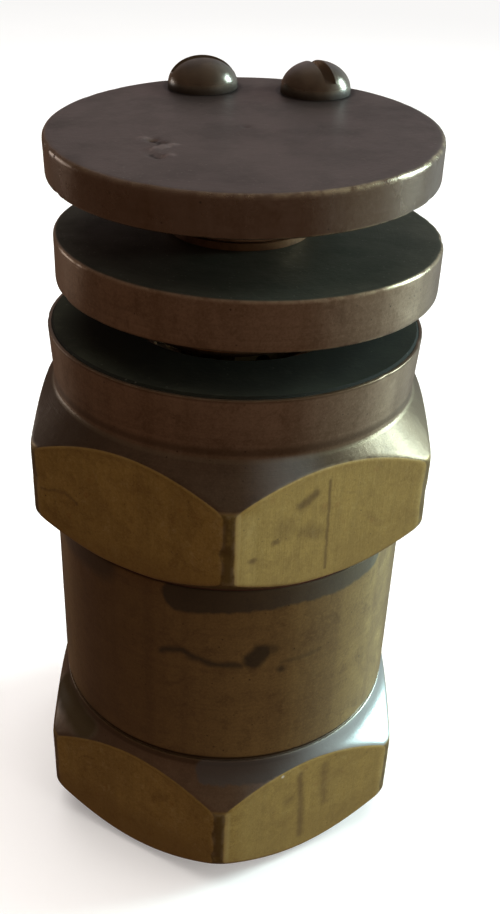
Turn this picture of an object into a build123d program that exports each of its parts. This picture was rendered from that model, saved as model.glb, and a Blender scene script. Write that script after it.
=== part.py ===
"""Automatic float air vent for a heating pipe, with a screw-down cap and a loose closing disc.

Millimetres, +Z up. The origin is the centre of the inlet's bottom face, on the vent's axis.
One corner of each hexagon points along -Y.
"""
import math
import os

from build123d import *

# --- overall stack, heights above the inlet face -------------------------------------------
INLET_CONE_TOP = 14.9
BODY_TOP = 36.0
BONNET_BOTTOM = 36.7
COLLAR_FOOT = 49.3
COLLAR_TOP = 54.8
DISC_BOTTOM = 58.9
DISC_TOP = 63.26
CAP_UNDERSIDE = 68.6
CAP_TOP = 72.1

# --- hexagons ------------------------------------------------------------------------------
HEX_ACROSS_FLATS = 36.0
HEX_CORNER_RADIUS = 20.5
CORNER_TO_FRONT = 90
INLET_FLARE_RADIUS = 17.85
INLET_FLARE_DROP = 1.2
INLET_CONE_DROP = 4.05
INLET_UNDER_RADIUS = 17.0
INLET_UNDER_RISE = 3.6
BONNET_CONE_DROP = 3.3
BONNET_UNDER_RADIUS = 18.05
BONNET_UNDER_RISE = 2.2

# --- body ----------------------------------------------------------------------------------
BODY_RADIUS = 17.4
SHOULDER_GROOVE_RADIUS = 17.1
SHOULDER_GROOVE_WIDTH = 0.35
INLET_BORE_RADIUS = 12.06
INLET_BORE_TOP = 14.0
INLET_MOUTH_RADIUS = 13.3
CHAMBER_RADIUS = 14.2
SPIGOT_BORE_RADIUS = 15.0
SPIGOT_BORE_BOTTOM = 27.0
SPIGOT_MOUTH_CHAMFER = 0.4

# --- bonnet --------------------------------------------------------------------------------
COLLAR_FOOT_RADIUS = 16.92
COLLAR_TOP_RADIUS = 17.28
COLLAR_EDGE = 0.25
SPIGOT_RADIUS = 14.97
SPIGOT_BOTTOM = 28.2
SPIGOT_RELIEF_RADIUS = 14.5
SPIGOT_RELIEF_BOTTOM = 35.2
BONNET_BORE_RADIUS = 13.2
WEB_BOTTOM = 41.5
WEB_TOP = 50.8
SPRING_WELL_RADIUS = 10.0
FACING_RADIUS = 16.95
FACING_FLOOR = 53.3
WEB_THREAD_RADIUS = 4.0
AIR_PASSAGE_RADIUS = 2.0
NOZZLE_THREAD_TOP = 46.0
STUD_FOOT = 47.0

# --- seat facing, gasket -------------------------------------------------------------------
FACING_TOP = 54.98
FACING_CLEARANCE = 0.02
GASKET_INNER_RADIUS = 15.05
GASKET_OUTER_RADIUS = 17.3

# --- stud ----------------------------------------------------------------------------------
THREAD_CLEARANCE = 0.02
STUD_RADIUS = 2.97
STUD_TOP = 67.1
STUD_HEX_AF = 10.0
STUD_HEX_TOP = 53.3
STUD_BORE_RADIUS = 1.0
STUD_BORE_TOP = 52.6
STUD_PORT_HEIGHT = 52.0
STUD_PORT_RADIUS = 0.9
STUD_PORT_ANGLES = (30, 90, 150)
STUD_TIP_CHAMFER = 0.5

# --- closing disc, spring, thrust washer ---------------------------------------------------
DISC_RADIUS = 17.23
DISC_OFFSET_X = 0.91
DISC_HOLE_RADIUS = 4.0
DISC_EDGE = 0.4
SPRING_RADIUS = 8.0
SPRING_WIRE_RADIUS = 0.5
SPRING_TURNS = 3.5
WASHER_RADIUS = 6.3
WASHER_HOLE_RADIUS = 3.2
WASHER_THICKNESS = 0.6
FACE_GAP = 0.02

# --- cap and lock screws -------------------------------------------------------------------
CAP_RADIUS = 17.0
CAP_OFFSET_X = 0.18
CAP_SLOPE_X = 0.0189
CAP_SLOPE_Y = 0.0492
CAP_TOP_EDGE = 0.5
CAP_BOTTOM_EDGE = 0.3
HUB_RADIUS = 6.1
CAP_BORE_RADIUS = 3.0
CAP_BORE_TOP = 71.1
CENTRE_MARK_RADIUS = 0.5
CENTRE_MARK_DEPTH = 0.4
SCREW_CIRCLE_RADIUS = 13.5
SCREW_ANGLES = (107.5, 60.8)
SCREW_SLOT_ANGLES = (8.0, 115.0)
SCREW_HEAD_RADIUS = 3.3
SCREW_HEAD_HEIGHT = 2.75
SCREW_HEAD_RIM = 0.25
SCREW_SHANK_RADIUS = 1.73
SCREW_HOLE_RADIUS = 1.75
SCREW_TIP_HEIGHT = 63.45
SCREW_TIP_CHAMFER = 0.4
SLOT_WIDTH = 1.1
SLOT_DEPTH = 1.45

# --- nozzle, washer, needle ----------------------------------------------------------------
BRACKET_THICKNESS = 0.8
NOZZLE_WASHER_THICKNESS = 0.5
NOZZLE_HEX_AF = 11.0
NOZZLE_HEX_BOTTOM = 37.7
NOZZLE_TOP = 45.6
NOZZLE_SLEEVE_RADIUS = 3.2
NOZZLE_SLEEVE_BOTTOM = 34.0
NEEDLE_BORE_RADIUS = 2.05
SEAT_CONE_BOTTOM = 38.05
ORIFICE_RADIUS = 0.6
NEEDLE_RADIUS = 2.0
NEEDLE_BOTTOM = 28.9
NEEDLE_CONE_START = 37.05
NEEDLE_TIP_RADIUS = 0.5
NEEDLE_FLAT_DISTANCE = 1.55
NEEDLE_FLAT_BOTTOM = 33.0
NEEDLE_SLOT_TOP = 32.5

# --- lever, bracket and pins ---------------------------------------------------------------
PIVOT_X = -7.5
PIVOT_Z = 31.0
FLOAT_LINK_X = 7.5
LEVER_REST_ANGLE = 3.82
LEVER_THICKNESS = 1.2
LEVER_HALF_HEIGHT = 1.5
LEVER_TAIL = 2.0
LEVER_NOSE = 2.4
LEVER_SLOT_HALF_LENGTH = 0.45
FORK_SLOT_WIDTH = 1.5
PIVOT_PIN_RADIUS = 0.75
LINK_PIN_RADIUS = 0.6
PIN_CLEARANCE = 0.03
BRACKET_INNER_HALF_WIDTH = 0.9
BRACKET_LEFT = -9.3
BRACKET_CHEEK_RIGHT = -6.0
BRACKET_RIGHT = 6.5
BRACKET_HALF_WIDTH = 5.5
CHEEK_BOTTOM = 29.3
PIN_HEAD_RADIUS = 1.1
PIN_HEAD_THICKNESS = 0.5

# --- float, stem, strainer, circlip --------------------------------------------------------
FLOAT_RADIUS = 13.6
FLOAT_BOTTOM = 16.0
FLOAT_MIDDLE = 21.0
FLOAT_TOP = 26.0
FLOAT_WALL = 0.8
FLOAT_EDGE = 1.8
FLOAT_BAND_RADIUS = 13.9
FLOAT_BAND_HALF_HEIGHT = 0.6
STEM_BASE_RADIUS = 2.9
STEM_BASE_THICKNESS = 0.8
STEM_HALF_X = 1.8
STEM_HALF_Y = 1.9
STEM_SLOT_BOTTOM = 28.2
STEM_TOP = 31.3
STRAINER_RADIUS = 14.1
STRAINER_THICKNESS = 1.0
STRAINER_HOLE_RADIUS = 1.1
STRAINER_RINGS = ((0.0, 1), (3.6, 6), (7.2, 12), (10.8, 18))
CIRCLIP_GROOVE_RADIUS = 14.85
CIRCLIP_GROOVE_BOTTOM = 15.0
CIRCLIP_GROOVE_TOP = 15.9
CIRCLIP_OUTER_RADIUS = 14.8
CIRCLIP_INNER_RADIUS = 13.2
CIRCLIP_THICKNESS = 0.8
CIRCLIP_GAP_HALF_ANGLE = 22
CIRCLIP_LUG_RADIUS = 1.5
CIRCLIP_LUG_HOLE_RADIUS = 0.7
CIRCLIP_LUG_CIRCLE = 12.9

HEX_RADIUS = HEX_ACROSS_FLATS / 2 / math.cos(math.radians(30))
NOZZLE_HEX_TOP = WEB_BOTTOM - BRACKET_THICKNESS - NOZZLE_WASHER_THICKNESS
NEEDLE_PIN_Z = PIVOT_Z + PIVOT_X * math.sin(math.radians(LEVER_REST_ANGLE))
FLOAT_PIN_Z = PIVOT_Z - (FLOAT_LINK_X - PIVOT_X) * math.sin(math.radians(LEVER_REST_ANGLE))
CAP_AXIS = Vector(-CAP_SLOPE_X, -CAP_SLOPE_Y, 1).normalized()
CAP_PLANE = Plane(origin=(CAP_OFFSET_X, 0, CAP_TOP), x_dir=(1, 0, CAP_SLOPE_X), z_dir=CAP_AXIS)
CAP_THICKNESS = CAP_TOP - CAP_UNDERSIDE

os.makedirs("parts", exist_ok=True)


def upright(radius, length):
    """Loose upright cylinder standing on the origin."""
    return Cylinder(radius, length, align=(Align.CENTER, Align.CENTER, Align.MIN), mode=Mode.PRIVATE)


def crosswise(radius, length):
    """Loose cylinder along Y, centred on the origin."""
    return Rot(90, 0, 0) * Cylinder(radius, length, mode=Mode.PRIVATE)


def upright_box(length, width, height):
    """Loose box standing on the origin, centred across it."""
    return Box(length, width, height, align=(Align.CENTER, Align.CENTER, Align.MIN), mode=Mode.PRIVATE)


def ring(inner_radius, outer_radius, bottom, top):
    """Plain upright ring, or a cylinder when the inner radius is zero."""
    solid = Pos(0, 0, bottom) * upright(outer_radius, top - bottom)
    if inner_radius > 0:
        solid -= Pos(0, 0, bottom) * upright(inner_radius, top - bottom)
    return solid


# Body: inlet hexagon, plain barrel, float chamber and the internal thread for the bonnet.
with BuildPart() as body:
    with BuildSketch(Plane.XY):
        RegularPolygon(HEX_RADIUS, 6, rotation=CORNER_TO_FRONT)
    extrude(amount=INLET_CONE_TOP)
    with BuildSketch(Plane.XZ):
        Polygon(
            (0, 0),
            (INLET_UNDER_RADIUS, 0),
            (HEX_CORNER_RADIUS, INLET_UNDER_RISE),
            (HEX_CORNER_RADIUS, INLET_CONE_TOP - INLET_CONE_DROP),
            (INLET_FLARE_RADIUS, INLET_CONE_TOP - INLET_FLARE_DROP),
            (BODY_RADIUS, INLET_CONE_TOP),
            (0, INLET_CONE_TOP),
            align=None,
        )
    revolve(axis=Axis.Z, mode=Mode.INTERSECT)
    with BuildSketch(Plane.XZ):
        Polygon(
            (0, INLET_CONE_TOP),
            (SHOULDER_GROOVE_RADIUS, INLET_CONE_TOP),
            (SHOULDER_GROOVE_RADIUS, INLET_CONE_TOP + SHOULDER_GROOVE_WIDTH),
            (BODY_RADIUS, INLET_CONE_TOP + 2 * SHOULDER_GROOVE_WIDTH),
            (BODY_RADIUS, BODY_TOP),
            (0, BODY_TOP),
            align=None,
        )
    revolve(axis=Axis.Z)
    with BuildSketch(Plane.XZ):
        Polygon(
            (0, 0),
            (INLET_MOUTH_RADIUS, 0),
            (INLET_BORE_RADIUS, INLET_MOUTH_RADIUS - INLET_BORE_RADIUS),
            (INLET_BORE_RADIUS, INLET_BORE_TOP),
            (CHAMBER_RADIUS, INLET_BORE_TOP),
            (CHAMBER_RADIUS, CIRCLIP_GROOVE_BOTTOM),
            (CIRCLIP_GROOVE_RADIUS, CIRCLIP_GROOVE_BOTTOM),
            (CIRCLIP_GROOVE_RADIUS, CIRCLIP_GROOVE_TOP),
            (CHAMBER_RADIUS, CIRCLIP_GROOVE_TOP),
            (CHAMBER_RADIUS, SPIGOT_BORE_BOTTOM),
            (SPIGOT_BORE_RADIUS, SPIGOT_BORE_BOTTOM),
            (SPIGOT_BORE_RADIUS, BODY_TOP),
            (0, BODY_TOP),
            align=None,
        )
    revolve(axis=Axis.Z, mode=Mode.SUBTRACT)

# Bonnet: second hexagon, collar with the seat recess, spigot and the web that carries the works.
with BuildPart() as bonnet:
    with BuildSketch(Plane.XY.offset(BONNET_BOTTOM)):
        RegularPolygon(HEX_RADIUS, 6, rotation=CORNER_TO_FRONT)
    extrude(amount=COLLAR_FOOT - BONNET_BOTTOM)
    with BuildSketch(Plane.XZ):
        Polygon(
            (0, BONNET_BOTTOM),
            (BONNET_UNDER_RADIUS, BONNET_BOTTOM),
            (HEX_CORNER_RADIUS, BONNET_BOTTOM + BONNET_UNDER_RISE),
            (HEX_CORNER_RADIUS, COLLAR_FOOT - BONNET_CONE_DROP),
            (COLLAR_FOOT_RADIUS, COLLAR_FOOT),
            (0, COLLAR_FOOT),
            align=None,
        )
    revolve(axis=Axis.Z, mode=Mode.INTERSECT)
    with BuildSketch(Plane.XZ):
        Polygon(
            (0, COLLAR_FOOT),
            (COLLAR_FOOT_RADIUS, COLLAR_FOOT),
            (COLLAR_TOP_RADIUS, COLLAR_TOP - COLLAR_EDGE),
            (COLLAR_TOP_RADIUS - COLLAR_EDGE, COLLAR_TOP),
            (0, COLLAR_TOP),
            align=None,
        )
    revolve(axis=Axis.Z)
    with BuildSketch(Plane.XZ):
        Polygon(
            (0, SPIGOT_BOTTOM),
            (SPIGOT_RADIUS - SPIGOT_MOUTH_CHAMFER, SPIGOT_BOTTOM),
            (SPIGOT_RADIUS, SPIGOT_BOTTOM + SPIGOT_MOUTH_CHAMFER),
            (SPIGOT_RADIUS, SPIGOT_RELIEF_BOTTOM),
            (SPIGOT_RELIEF_RADIUS, SPIGOT_RELIEF_BOTTOM),
            (SPIGOT_RELIEF_RADIUS, BONNET_BOTTOM),
            (0, BONNET_BOTTOM),
            align=None,
        )
    revolve(axis=Axis.Z)
    with BuildSketch(Plane.XZ):
        Polygon(
            (0, SPIGOT_BOTTOM),
            (BONNET_BORE_RADIUS, SPIGOT_BOTTOM),
            (BONNET_BORE_RADIUS, WEB_BOTTOM),
            (WEB_THREAD_RADIUS, WEB_BOTTOM),
            (WEB_THREAD_RADIUS, NOZZLE_THREAD_TOP),
            (AIR_PASSAGE_RADIUS, NOZZLE_THREAD_TOP),
            (AIR_PASSAGE_RADIUS, STUD_FOOT),
            (WEB_THREAD_RADIUS, STUD_FOOT),
            (WEB_THREAD_RADIUS, WEB_TOP),
            (SPRING_WELL_RADIUS, WEB_TOP),
            (SPRING_WELL_RADIUS, FACING_FLOOR),
            (FACING_RADIUS, FACING_FLOOR),
            (FACING_RADIUS, COLLAR_TOP),
            (0, COLLAR_TOP),
            align=None,
        )
    revolve(axis=Axis.Z, mode=Mode.SUBTRACT)

# Flat gasket between the body's rim and the bonnet.
with BuildPart() as joint_gasket:
    add(ring(GASKET_INNER_RADIUS, GASKET_OUTER_RADIUS, BODY_TOP, BONNET_BOTTOM))

# Soft seat facing let into the collar, standing slightly proud of it.
with BuildPart() as seat_facing:
    add(ring(SPRING_WELL_RADIUS, FACING_RADIUS - FACING_CLEARANCE, FACING_FLOOR, FACING_TOP))
    chamfer(seat_facing.edges().filter_by(GeomType.CIRCLE).group_by(Axis.Z)[-1], SPIGOT_MOUTH_CHAMFER / 2)

# Stud: screwed into the web, drilled for the air, its upper thread carries the cap.
with BuildPart() as stud:
    add(ring(0, WEB_THREAD_RADIUS - THREAD_CLEARANCE, STUD_FOOT, WEB_TOP))
    with BuildSketch(Plane.XY.offset(WEB_TOP)):
        RegularPolygon(STUD_HEX_AF / 2 / math.cos(math.radians(30)), 6, rotation=CORNER_TO_FRONT)
    extrude(amount=STUD_HEX_TOP - WEB_TOP)
    add(ring(0, STUD_RADIUS, STUD_HEX_TOP, STUD_TOP))
    chamfer(stud.edges().filter_by(GeomType.CIRCLE).sort_by(Axis.Z)[-1], STUD_TIP_CHAMFER)
    add(ring(0, STUD_BORE_RADIUS, STUD_FOOT, STUD_BORE_TOP), mode=Mode.SUBTRACT)
    for port_angle in STUD_PORT_ANGLES:
        port = Rot(0, 0, port_angle) * crosswise(STUD_PORT_RADIUS, 2 * STUD_HEX_AF)
        add(Pos(0, 0, STUD_PORT_HEIGHT) * port, mode=Mode.SUBTRACT)

# Closing disc, loose on the stud, so it hangs to one side.
with BuildPart() as closing_disc:
    add(Pos(DISC_OFFSET_X, 0, 0) * ring(0, DISC_RADIUS, DISC_BOTTOM, DISC_TOP))
    chamfer(closing_disc.edges().filter_by(GeomType.CIRCLE), DISC_EDGE)
    add(Pos(DISC_OFFSET_X, 0, 0) * ring(0, DISC_HOLE_RADIUS, DISC_BOTTOM, DISC_TOP), mode=Mode.SUBTRACT)

# Return spring under the disc, standing in the collar's well.
SPRING_BOTTOM = WEB_TOP + SPRING_WIRE_RADIUS + FACE_GAP
SPRING_TOP = DISC_BOTTOM - SPRING_WIRE_RADIUS - FACE_GAP
SPRING_PITCH = (SPRING_TOP - SPRING_BOTTOM) / SPRING_TURNS
with BuildPart() as disc_spring:
    with BuildLine(Plane.XY.offset(SPRING_BOTTOM)) as spring_path:
        Helix(pitch=SPRING_PITCH, height=SPRING_TOP - SPRING_BOTTOM, radius=SPRING_RADIUS)
    spring_start = spring_path.line @ 0
    spring_plane = Plane(origin=spring_start, z_dir=spring_path.line % 0)
    with BuildSketch(spring_plane):
        Circle(SPRING_WIRE_RADIUS)
    sweep(path=spring_path.line, is_frenet=True)

# Thrust washer between the turning hub and the disc.
WASHER_BOTTOM = DISC_TOP + FACE_GAP
WASHER_TOP = WASHER_BOTTOM + WASHER_THICKNESS
with BuildPart() as thrust_washer:
    add(ring(WASHER_HOLE_RADIUS, WASHER_RADIUS, WASHER_BOTTOM, WASHER_TOP))

# Cap: round plate, slightly out of true on the hub that turns on the stud.
HUB_BOTTOM = WASHER_TOP + FACE_GAP
HUB_ROOT = CAP_UNDERSIDE + CAP_THICKNESS / 2
cap_plate = CAP_PLANE * Pos(0, 0, -CAP_THICKNESS) * upright(CAP_RADIUS, CAP_THICKNESS)
rim_edges = cap_plate.edges().filter_by(GeomType.CIRCLE).sort_by(Axis.Z)
cap_plate = chamfer(rim_edges[-1], CAP_TOP_EDGE)
rim_edges = cap_plate.edges().filter_by(GeomType.CIRCLE).sort_by(Axis.Z)
cap_plate = chamfer(rim_edges[0], CAP_BOTTOM_EDGE)
centre_mark = Cone(0, CENTRE_MARK_RADIUS, CENTRE_MARK_DEPTH, align=(Align.CENTER, Align.CENTER, Align.MAX))
with BuildPart() as cap:
    add(cap_plate)
    add(ring(0, HUB_RADIUS, HUB_BOTTOM, HUB_ROOT))
    add(ring(0, CAP_BORE_RADIUS, HUB_BOTTOM, CAP_BORE_TOP), mode=Mode.SUBTRACT)
    add(CAP_PLANE * centre_mark, mode=Mode.SUBTRACT)
    for screw_angle in SCREW_ANGLES:
        screw_x = SCREW_CIRCLE_RADIUS * math.cos(math.radians(screw_angle))
        screw_y = SCREW_CIRCLE_RADIUS * math.sin(math.radians(screw_angle))
        screw_hole = Pos(screw_x, screw_y, -2 * CAP_THICKNESS) * upright(SCREW_HOLE_RADIUS, 4 * CAP_THICKNESS)
        add(CAP_PLANE * screw_hole, mode=Mode.SUBTRACT)


def screw_solid(angle, slot_angle):
    """Round-head slotted screw, standing square to the cap plate."""
    x = SCREW_CIRCLE_RADIUS * math.cos(math.radians(angle))
    y = SCREW_CIRCLE_RADIUS * math.sin(math.radians(angle))
    seat_height = CAP_TOP + CAP_SLOPE_X * x + CAP_SLOPE_Y * y
    dome_height = SCREW_HEAD_HEIGHT - SCREW_HEAD_RIM
    dome_edge = EllipticalCenterArc(
        (0, SCREW_HEAD_RIM), SCREW_HEAD_RADIUS, dome_height, start_angle=0, arc_size=90
    )
    straight_edges = Polyline(
        (0, SCREW_HEAD_HEIGHT),
        (0, 0),
        (SCREW_HEAD_RADIUS, 0),
        (SCREW_HEAD_RADIUS, SCREW_HEAD_RIM),
    )
    head = revolve(Plane.XZ * make_face([dome_edge, *straight_edges.edges()]), Axis.Z)
    slot_cutter = upright_box(4 * SCREW_HEAD_RADIUS, SLOT_WIDTH, SCREW_HEAD_HEIGHT)
    head -= Rot(0, 0, slot_angle) * Pos(0, 0, SCREW_HEAD_HEIGHT - SLOT_DEPTH) * slot_cutter
    shank = Cylinder(
        SCREW_SHANK_RADIUS, seat_height - SCREW_TIP_HEIGHT, align=(Align.CENTER, Align.CENTER, Align.MAX)
    )
    shank = chamfer(shank.edges().filter_by(GeomType.CIRCLE).sort_by(Axis.Z)[0], SCREW_TIP_CHAMFER)
    return CAP_PLANE * Pos(x, y, 0) * (head + shank)


# Two lock screws through the cap; their ends bear on the disc below.
screw_solids = [screw_solid(angle, slot_angle) for angle, slot_angle in zip(SCREW_ANGLES, SCREW_SLOT_ANGLES)]
with BuildPart() as lock_screws:
    add(screw_solids)

# Lever bracket: sheet plate clamped under the web, two cheeks bent down for the pivot pin.
with BuildPart() as lever_bracket:
    plate_bottom = WEB_BOTTOM - BRACKET_THICKNESS
    cheek_half_width = BRACKET_INNER_HALF_WIDTH + BRACKET_THICKNESS
    with BuildSketch(Plane.XY.offset(plate_bottom)):
        Polygon(
            (BRACKET_LEFT, -cheek_half_width),
            (BRACKET_CHEEK_RIGHT, -cheek_half_width),
            (BRACKET_CHEEK_RIGHT, -BRACKET_HALF_WIDTH),
            (BRACKET_RIGHT, -BRACKET_HALF_WIDTH),
            (BRACKET_RIGHT, BRACKET_HALF_WIDTH),
            (BRACKET_CHEEK_RIGHT, BRACKET_HALF_WIDTH),
            (BRACKET_CHEEK_RIGHT, cheek_half_width),
            (BRACKET_LEFT, cheek_half_width),
            align=None,
        )
        Circle(WEB_THREAD_RADIUS + PIN_CLEARANCE, mode=Mode.SUBTRACT)
    extrude(amount=BRACKET_THICKNESS)
    cheek_centre_x = (BRACKET_LEFT + BRACKET_CHEEK_RIGHT) / 2
    cheek_length = BRACKET_CHEEK_RIGHT - BRACKET_LEFT
    for side in (-1, 1):
        cheek_y = side * (BRACKET_INNER_HALF_WIDTH + BRACKET_THICKNESS / 2)
        cheek = upright_box(cheek_length, BRACKET_THICKNESS, plate_bottom - CHEEK_BOTTOM)
        add(Pos(cheek_centre_x, cheek_y, CHEEK_BOTTOM) * cheek)
    pivot_hole = crosswise(PIVOT_PIN_RADIUS + PIN_CLEARANCE, 4 * BRACKET_HALF_WIDTH)
    add(Pos(PIVOT_X, 0, PIVOT_Z) * pivot_hole, mode=Mode.SUBTRACT)

# Pivot pin through the bracket's cheeks.
with BuildPart() as pivot_pin:
    pin_half_length = BRACKET_INNER_HALF_WIDTH + BRACKET_THICKNESS + PIN_CLEARANCE
    add(Pos(PIVOT_X, 0, PIVOT_Z) * crosswise(PIVOT_PIN_RADIUS, 2 * pin_half_length))
    for side in (-1, 1):
        head_y = side * (pin_half_length + PIN_HEAD_THICKNESS / 2)
        add(Pos(PIVOT_X, head_y, PIVOT_Z) * crosswise(PIN_HEAD_RADIUS, PIN_HEAD_THICKNESS))

# Nozzle: screwed up into the web, with the orifice, its conical seat and the needle's guide sleeve.
with BuildPart() as nozzle:
    with BuildSketch(Plane.XY.offset(NOZZLE_HEX_BOTTOM)):
        RegularPolygon(NOZZLE_HEX_AF / 2 / math.cos(math.radians(30)), 6, rotation=CORNER_TO_FRONT)
    extrude(amount=NOZZLE_HEX_TOP - NOZZLE_HEX_BOTTOM)
    add(ring(0, NOZZLE_SLEEVE_RADIUS, NOZZLE_SLEEVE_BOTTOM, NOZZLE_HEX_BOTTOM))
    add(ring(0, WEB_THREAD_RADIUS - THREAD_CLEARANCE, NOZZLE_HEX_TOP, NOZZLE_TOP))
    with BuildSketch(Plane.XZ):
        Polygon(
            (0, NOZZLE_SLEEVE_BOTTOM),
            (NEEDLE_BORE_RADIUS, NOZZLE_SLEEVE_BOTTOM),
            (NEEDLE_BORE_RADIUS, SEAT_CONE_BOTTOM),
            (ORIFICE_RADIUS, SEAT_CONE_BOTTOM + NEEDLE_BORE_RADIUS - ORIFICE_RADIUS),
            (ORIFICE_RADIUS, NOZZLE_TOP),
            (0, NOZZLE_TOP),
            align=None,
        )
    revolve(axis=Axis.Z, mode=Mode.SUBTRACT)

# Sealing washer under the nozzle's hexagon.
with BuildPart() as nozzle_washer:
    washer_inner_radius = WEB_THREAD_RADIUS + PIN_CLEARANCE
    washer_top = NOZZLE_HEX_TOP + NOZZLE_WASHER_THICKNESS
    add(ring(washer_inner_radius, NOZZLE_HEX_AF / 2, NOZZLE_HEX_TOP, washer_top))

# Needle: conical tip, three flats for the air to pass, forked lower end around the lever.
with BuildPart() as needle:
    with BuildSketch(Plane.XZ):
        Polygon(
            (0, NEEDLE_BOTTOM),
            (NEEDLE_RADIUS, NEEDLE_BOTTOM),
            (NEEDLE_RADIUS, NEEDLE_CONE_START),
            (NEEDLE_TIP_RADIUS, NEEDLE_CONE_START + NEEDLE_RADIUS - NEEDLE_TIP_RADIUS),
            (0, NEEDLE_CONE_START + NEEDLE_RADIUS - NEEDLE_TIP_RADIUS),
            align=None,
        )
    revolve(axis=Axis.Z)
    for flat_angle in (90, 210, 330):
        flat_cut = upright_box(NEEDLE_RADIUS, 4 * NEEDLE_RADIUS, NEEDLE_CONE_START - NEEDLE_FLAT_BOTTOM)
        flat_cut = Pos(NEEDLE_FLAT_DISTANCE + NEEDLE_RADIUS / 2, 0, NEEDLE_FLAT_BOTTOM) * flat_cut
        add(Rot(0, 0, flat_angle) * flat_cut, mode=Mode.SUBTRACT)
    fork_cut = upright_box(4 * NEEDLE_RADIUS, FORK_SLOT_WIDTH, NEEDLE_SLOT_TOP - NEEDLE_BOTTOM)
    add(Pos(0, 0, NEEDLE_BOTTOM) * fork_cut, mode=Mode.SUBTRACT)
    needle_pin_hole = crosswise(LINK_PIN_RADIUS + PIN_CLEARANCE, 4 * NEEDLE_RADIUS)
    add(Pos(0, 0, NEEDLE_PIN_Z) * needle_pin_hole, mode=Mode.SUBTRACT)

# Pin that joins the needle to the lever.
with BuildPart() as needle_pin:
    add(Pos(0, 0, NEEDLE_PIN_Z) * crosswise(LINK_PIN_RADIUS, 2 * NEEDLE_RADIUS))

# Float lever: flat strip on edge, drilled for its pivot and slotted for the two link pins.
with BuildPart() as float_lever:
    lever_frame = Plane(
        origin=(PIVOT_X, 0, PIVOT_Z),
        x_dir=(math.cos(math.radians(LEVER_REST_ANGLE)), 0, -math.sin(math.radians(LEVER_REST_ANGLE))),
        z_dir=(0, -1, 0),
    )
    needle_reach = -PIVOT_X / math.cos(math.radians(LEVER_REST_ANGLE))
    float_reach = (FLOAT_LINK_X - PIVOT_X) / math.cos(math.radians(LEVER_REST_ANGLE))
    with BuildSketch(lever_frame):
        lever_length = float_reach + LEVER_NOSE + LEVER_TAIL
        with Locations(((float_reach + LEVER_NOSE - LEVER_TAIL) / 2, 0)):
            RectangleRounded(lever_length, 2 * LEVER_HALF_HEIGHT, LEVER_HALF_HEIGHT - PIN_CLEARANCE)
        Circle(PIVOT_PIN_RADIUS + PIN_CLEARANCE, mode=Mode.SUBTRACT)
        with Locations((needle_reach, 0), (float_reach, 0)):
            SlotCenterToCenter(
                2 * LEVER_SLOT_HALF_LENGTH, 2 * (LINK_PIN_RADIUS + PIN_CLEARANCE), mode=Mode.SUBTRACT
            )
    extrude(amount=LEVER_THICKNESS / 2, both=True)

# Float: two moulded half shells joined at a band.
with BuildPart() as float_lower_shell:
    add(ring(0, FLOAT_RADIUS, FLOAT_BOTTOM, FLOAT_MIDDLE))
    fillet(float_lower_shell.edges().filter_by(GeomType.CIRCLE).sort_by(Axis.Z)[0], FLOAT_EDGE)
    add(ring(0, FLOAT_BAND_RADIUS, FLOAT_MIDDLE - FLOAT_BAND_HALF_HEIGHT, FLOAT_MIDDLE))
    add(ring(0, FLOAT_RADIUS - FLOAT_WALL, FLOAT_BOTTOM + FLOAT_WALL, FLOAT_MIDDLE), mode=Mode.SUBTRACT)

with BuildPart() as float_upper_shell:
    add(ring(0, FLOAT_RADIUS, FLOAT_MIDDLE, FLOAT_TOP))
    fillet(float_upper_shell.edges().filter_by(GeomType.CIRCLE).sort_by(Axis.Z)[-1], FLOAT_EDGE)
    add(ring(0, FLOAT_BAND_RADIUS, FLOAT_MIDDLE, FLOAT_MIDDLE + FLOAT_BAND_HALF_HEIGHT))
    add(ring(0, FLOAT_RADIUS - FLOAT_WALL, FLOAT_MIDDLE, FLOAT_TOP - FLOAT_WALL), mode=Mode.SUBTRACT)

# Forked stem on the float, off the axis, reaching up to the lever's long end.
with BuildPart() as float_stem:
    add(Pos(FLOAT_LINK_X, 0, 0) * ring(0, STEM_BASE_RADIUS, FLOAT_TOP, FLOAT_TOP + STEM_BASE_THICKNESS))
    stem_post = upright_box(2 * STEM_HALF_X, 2 * STEM_HALF_Y, STEM_TOP - FLOAT_TOP)
    add(Pos(FLOAT_LINK_X, 0, FLOAT_TOP) * stem_post)
    stem_fork = upright_box(4 * STEM_HALF_X, FORK_SLOT_WIDTH, STEM_TOP - STEM_SLOT_BOTTOM)
    add(Pos(FLOAT_LINK_X, 0, STEM_SLOT_BOTTOM) * stem_fork, mode=Mode.SUBTRACT)
    stem_hole = crosswise(LINK_PIN_RADIUS + PIN_CLEARANCE, 4 * STEM_HALF_Y)
    add(Pos(FLOAT_LINK_X, 0, FLOAT_PIN_Z) * stem_hole, mode=Mode.SUBTRACT)

# Pin that joins the float's stem to the lever.
with BuildPart() as float_pin:
    add(Pos(FLOAT_LINK_X, 0, FLOAT_PIN_Z) * crosswise(LINK_PIN_RADIUS, 2 * STEM_HALF_Y))

# Strainer plate on the shoulder above the inlet thread.
with BuildPart() as strainer:
    with BuildSketch(Plane.XY.offset(INLET_BORE_TOP)):
        Circle(STRAINER_RADIUS)
        for ring_radius, hole_count in STRAINER_RINGS:
            with PolarLocations(ring_radius, hole_count):
                Circle(STRAINER_HOLE_RADIUS, mode=Mode.SUBTRACT)
    extrude(amount=STRAINER_THICKNESS)

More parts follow.
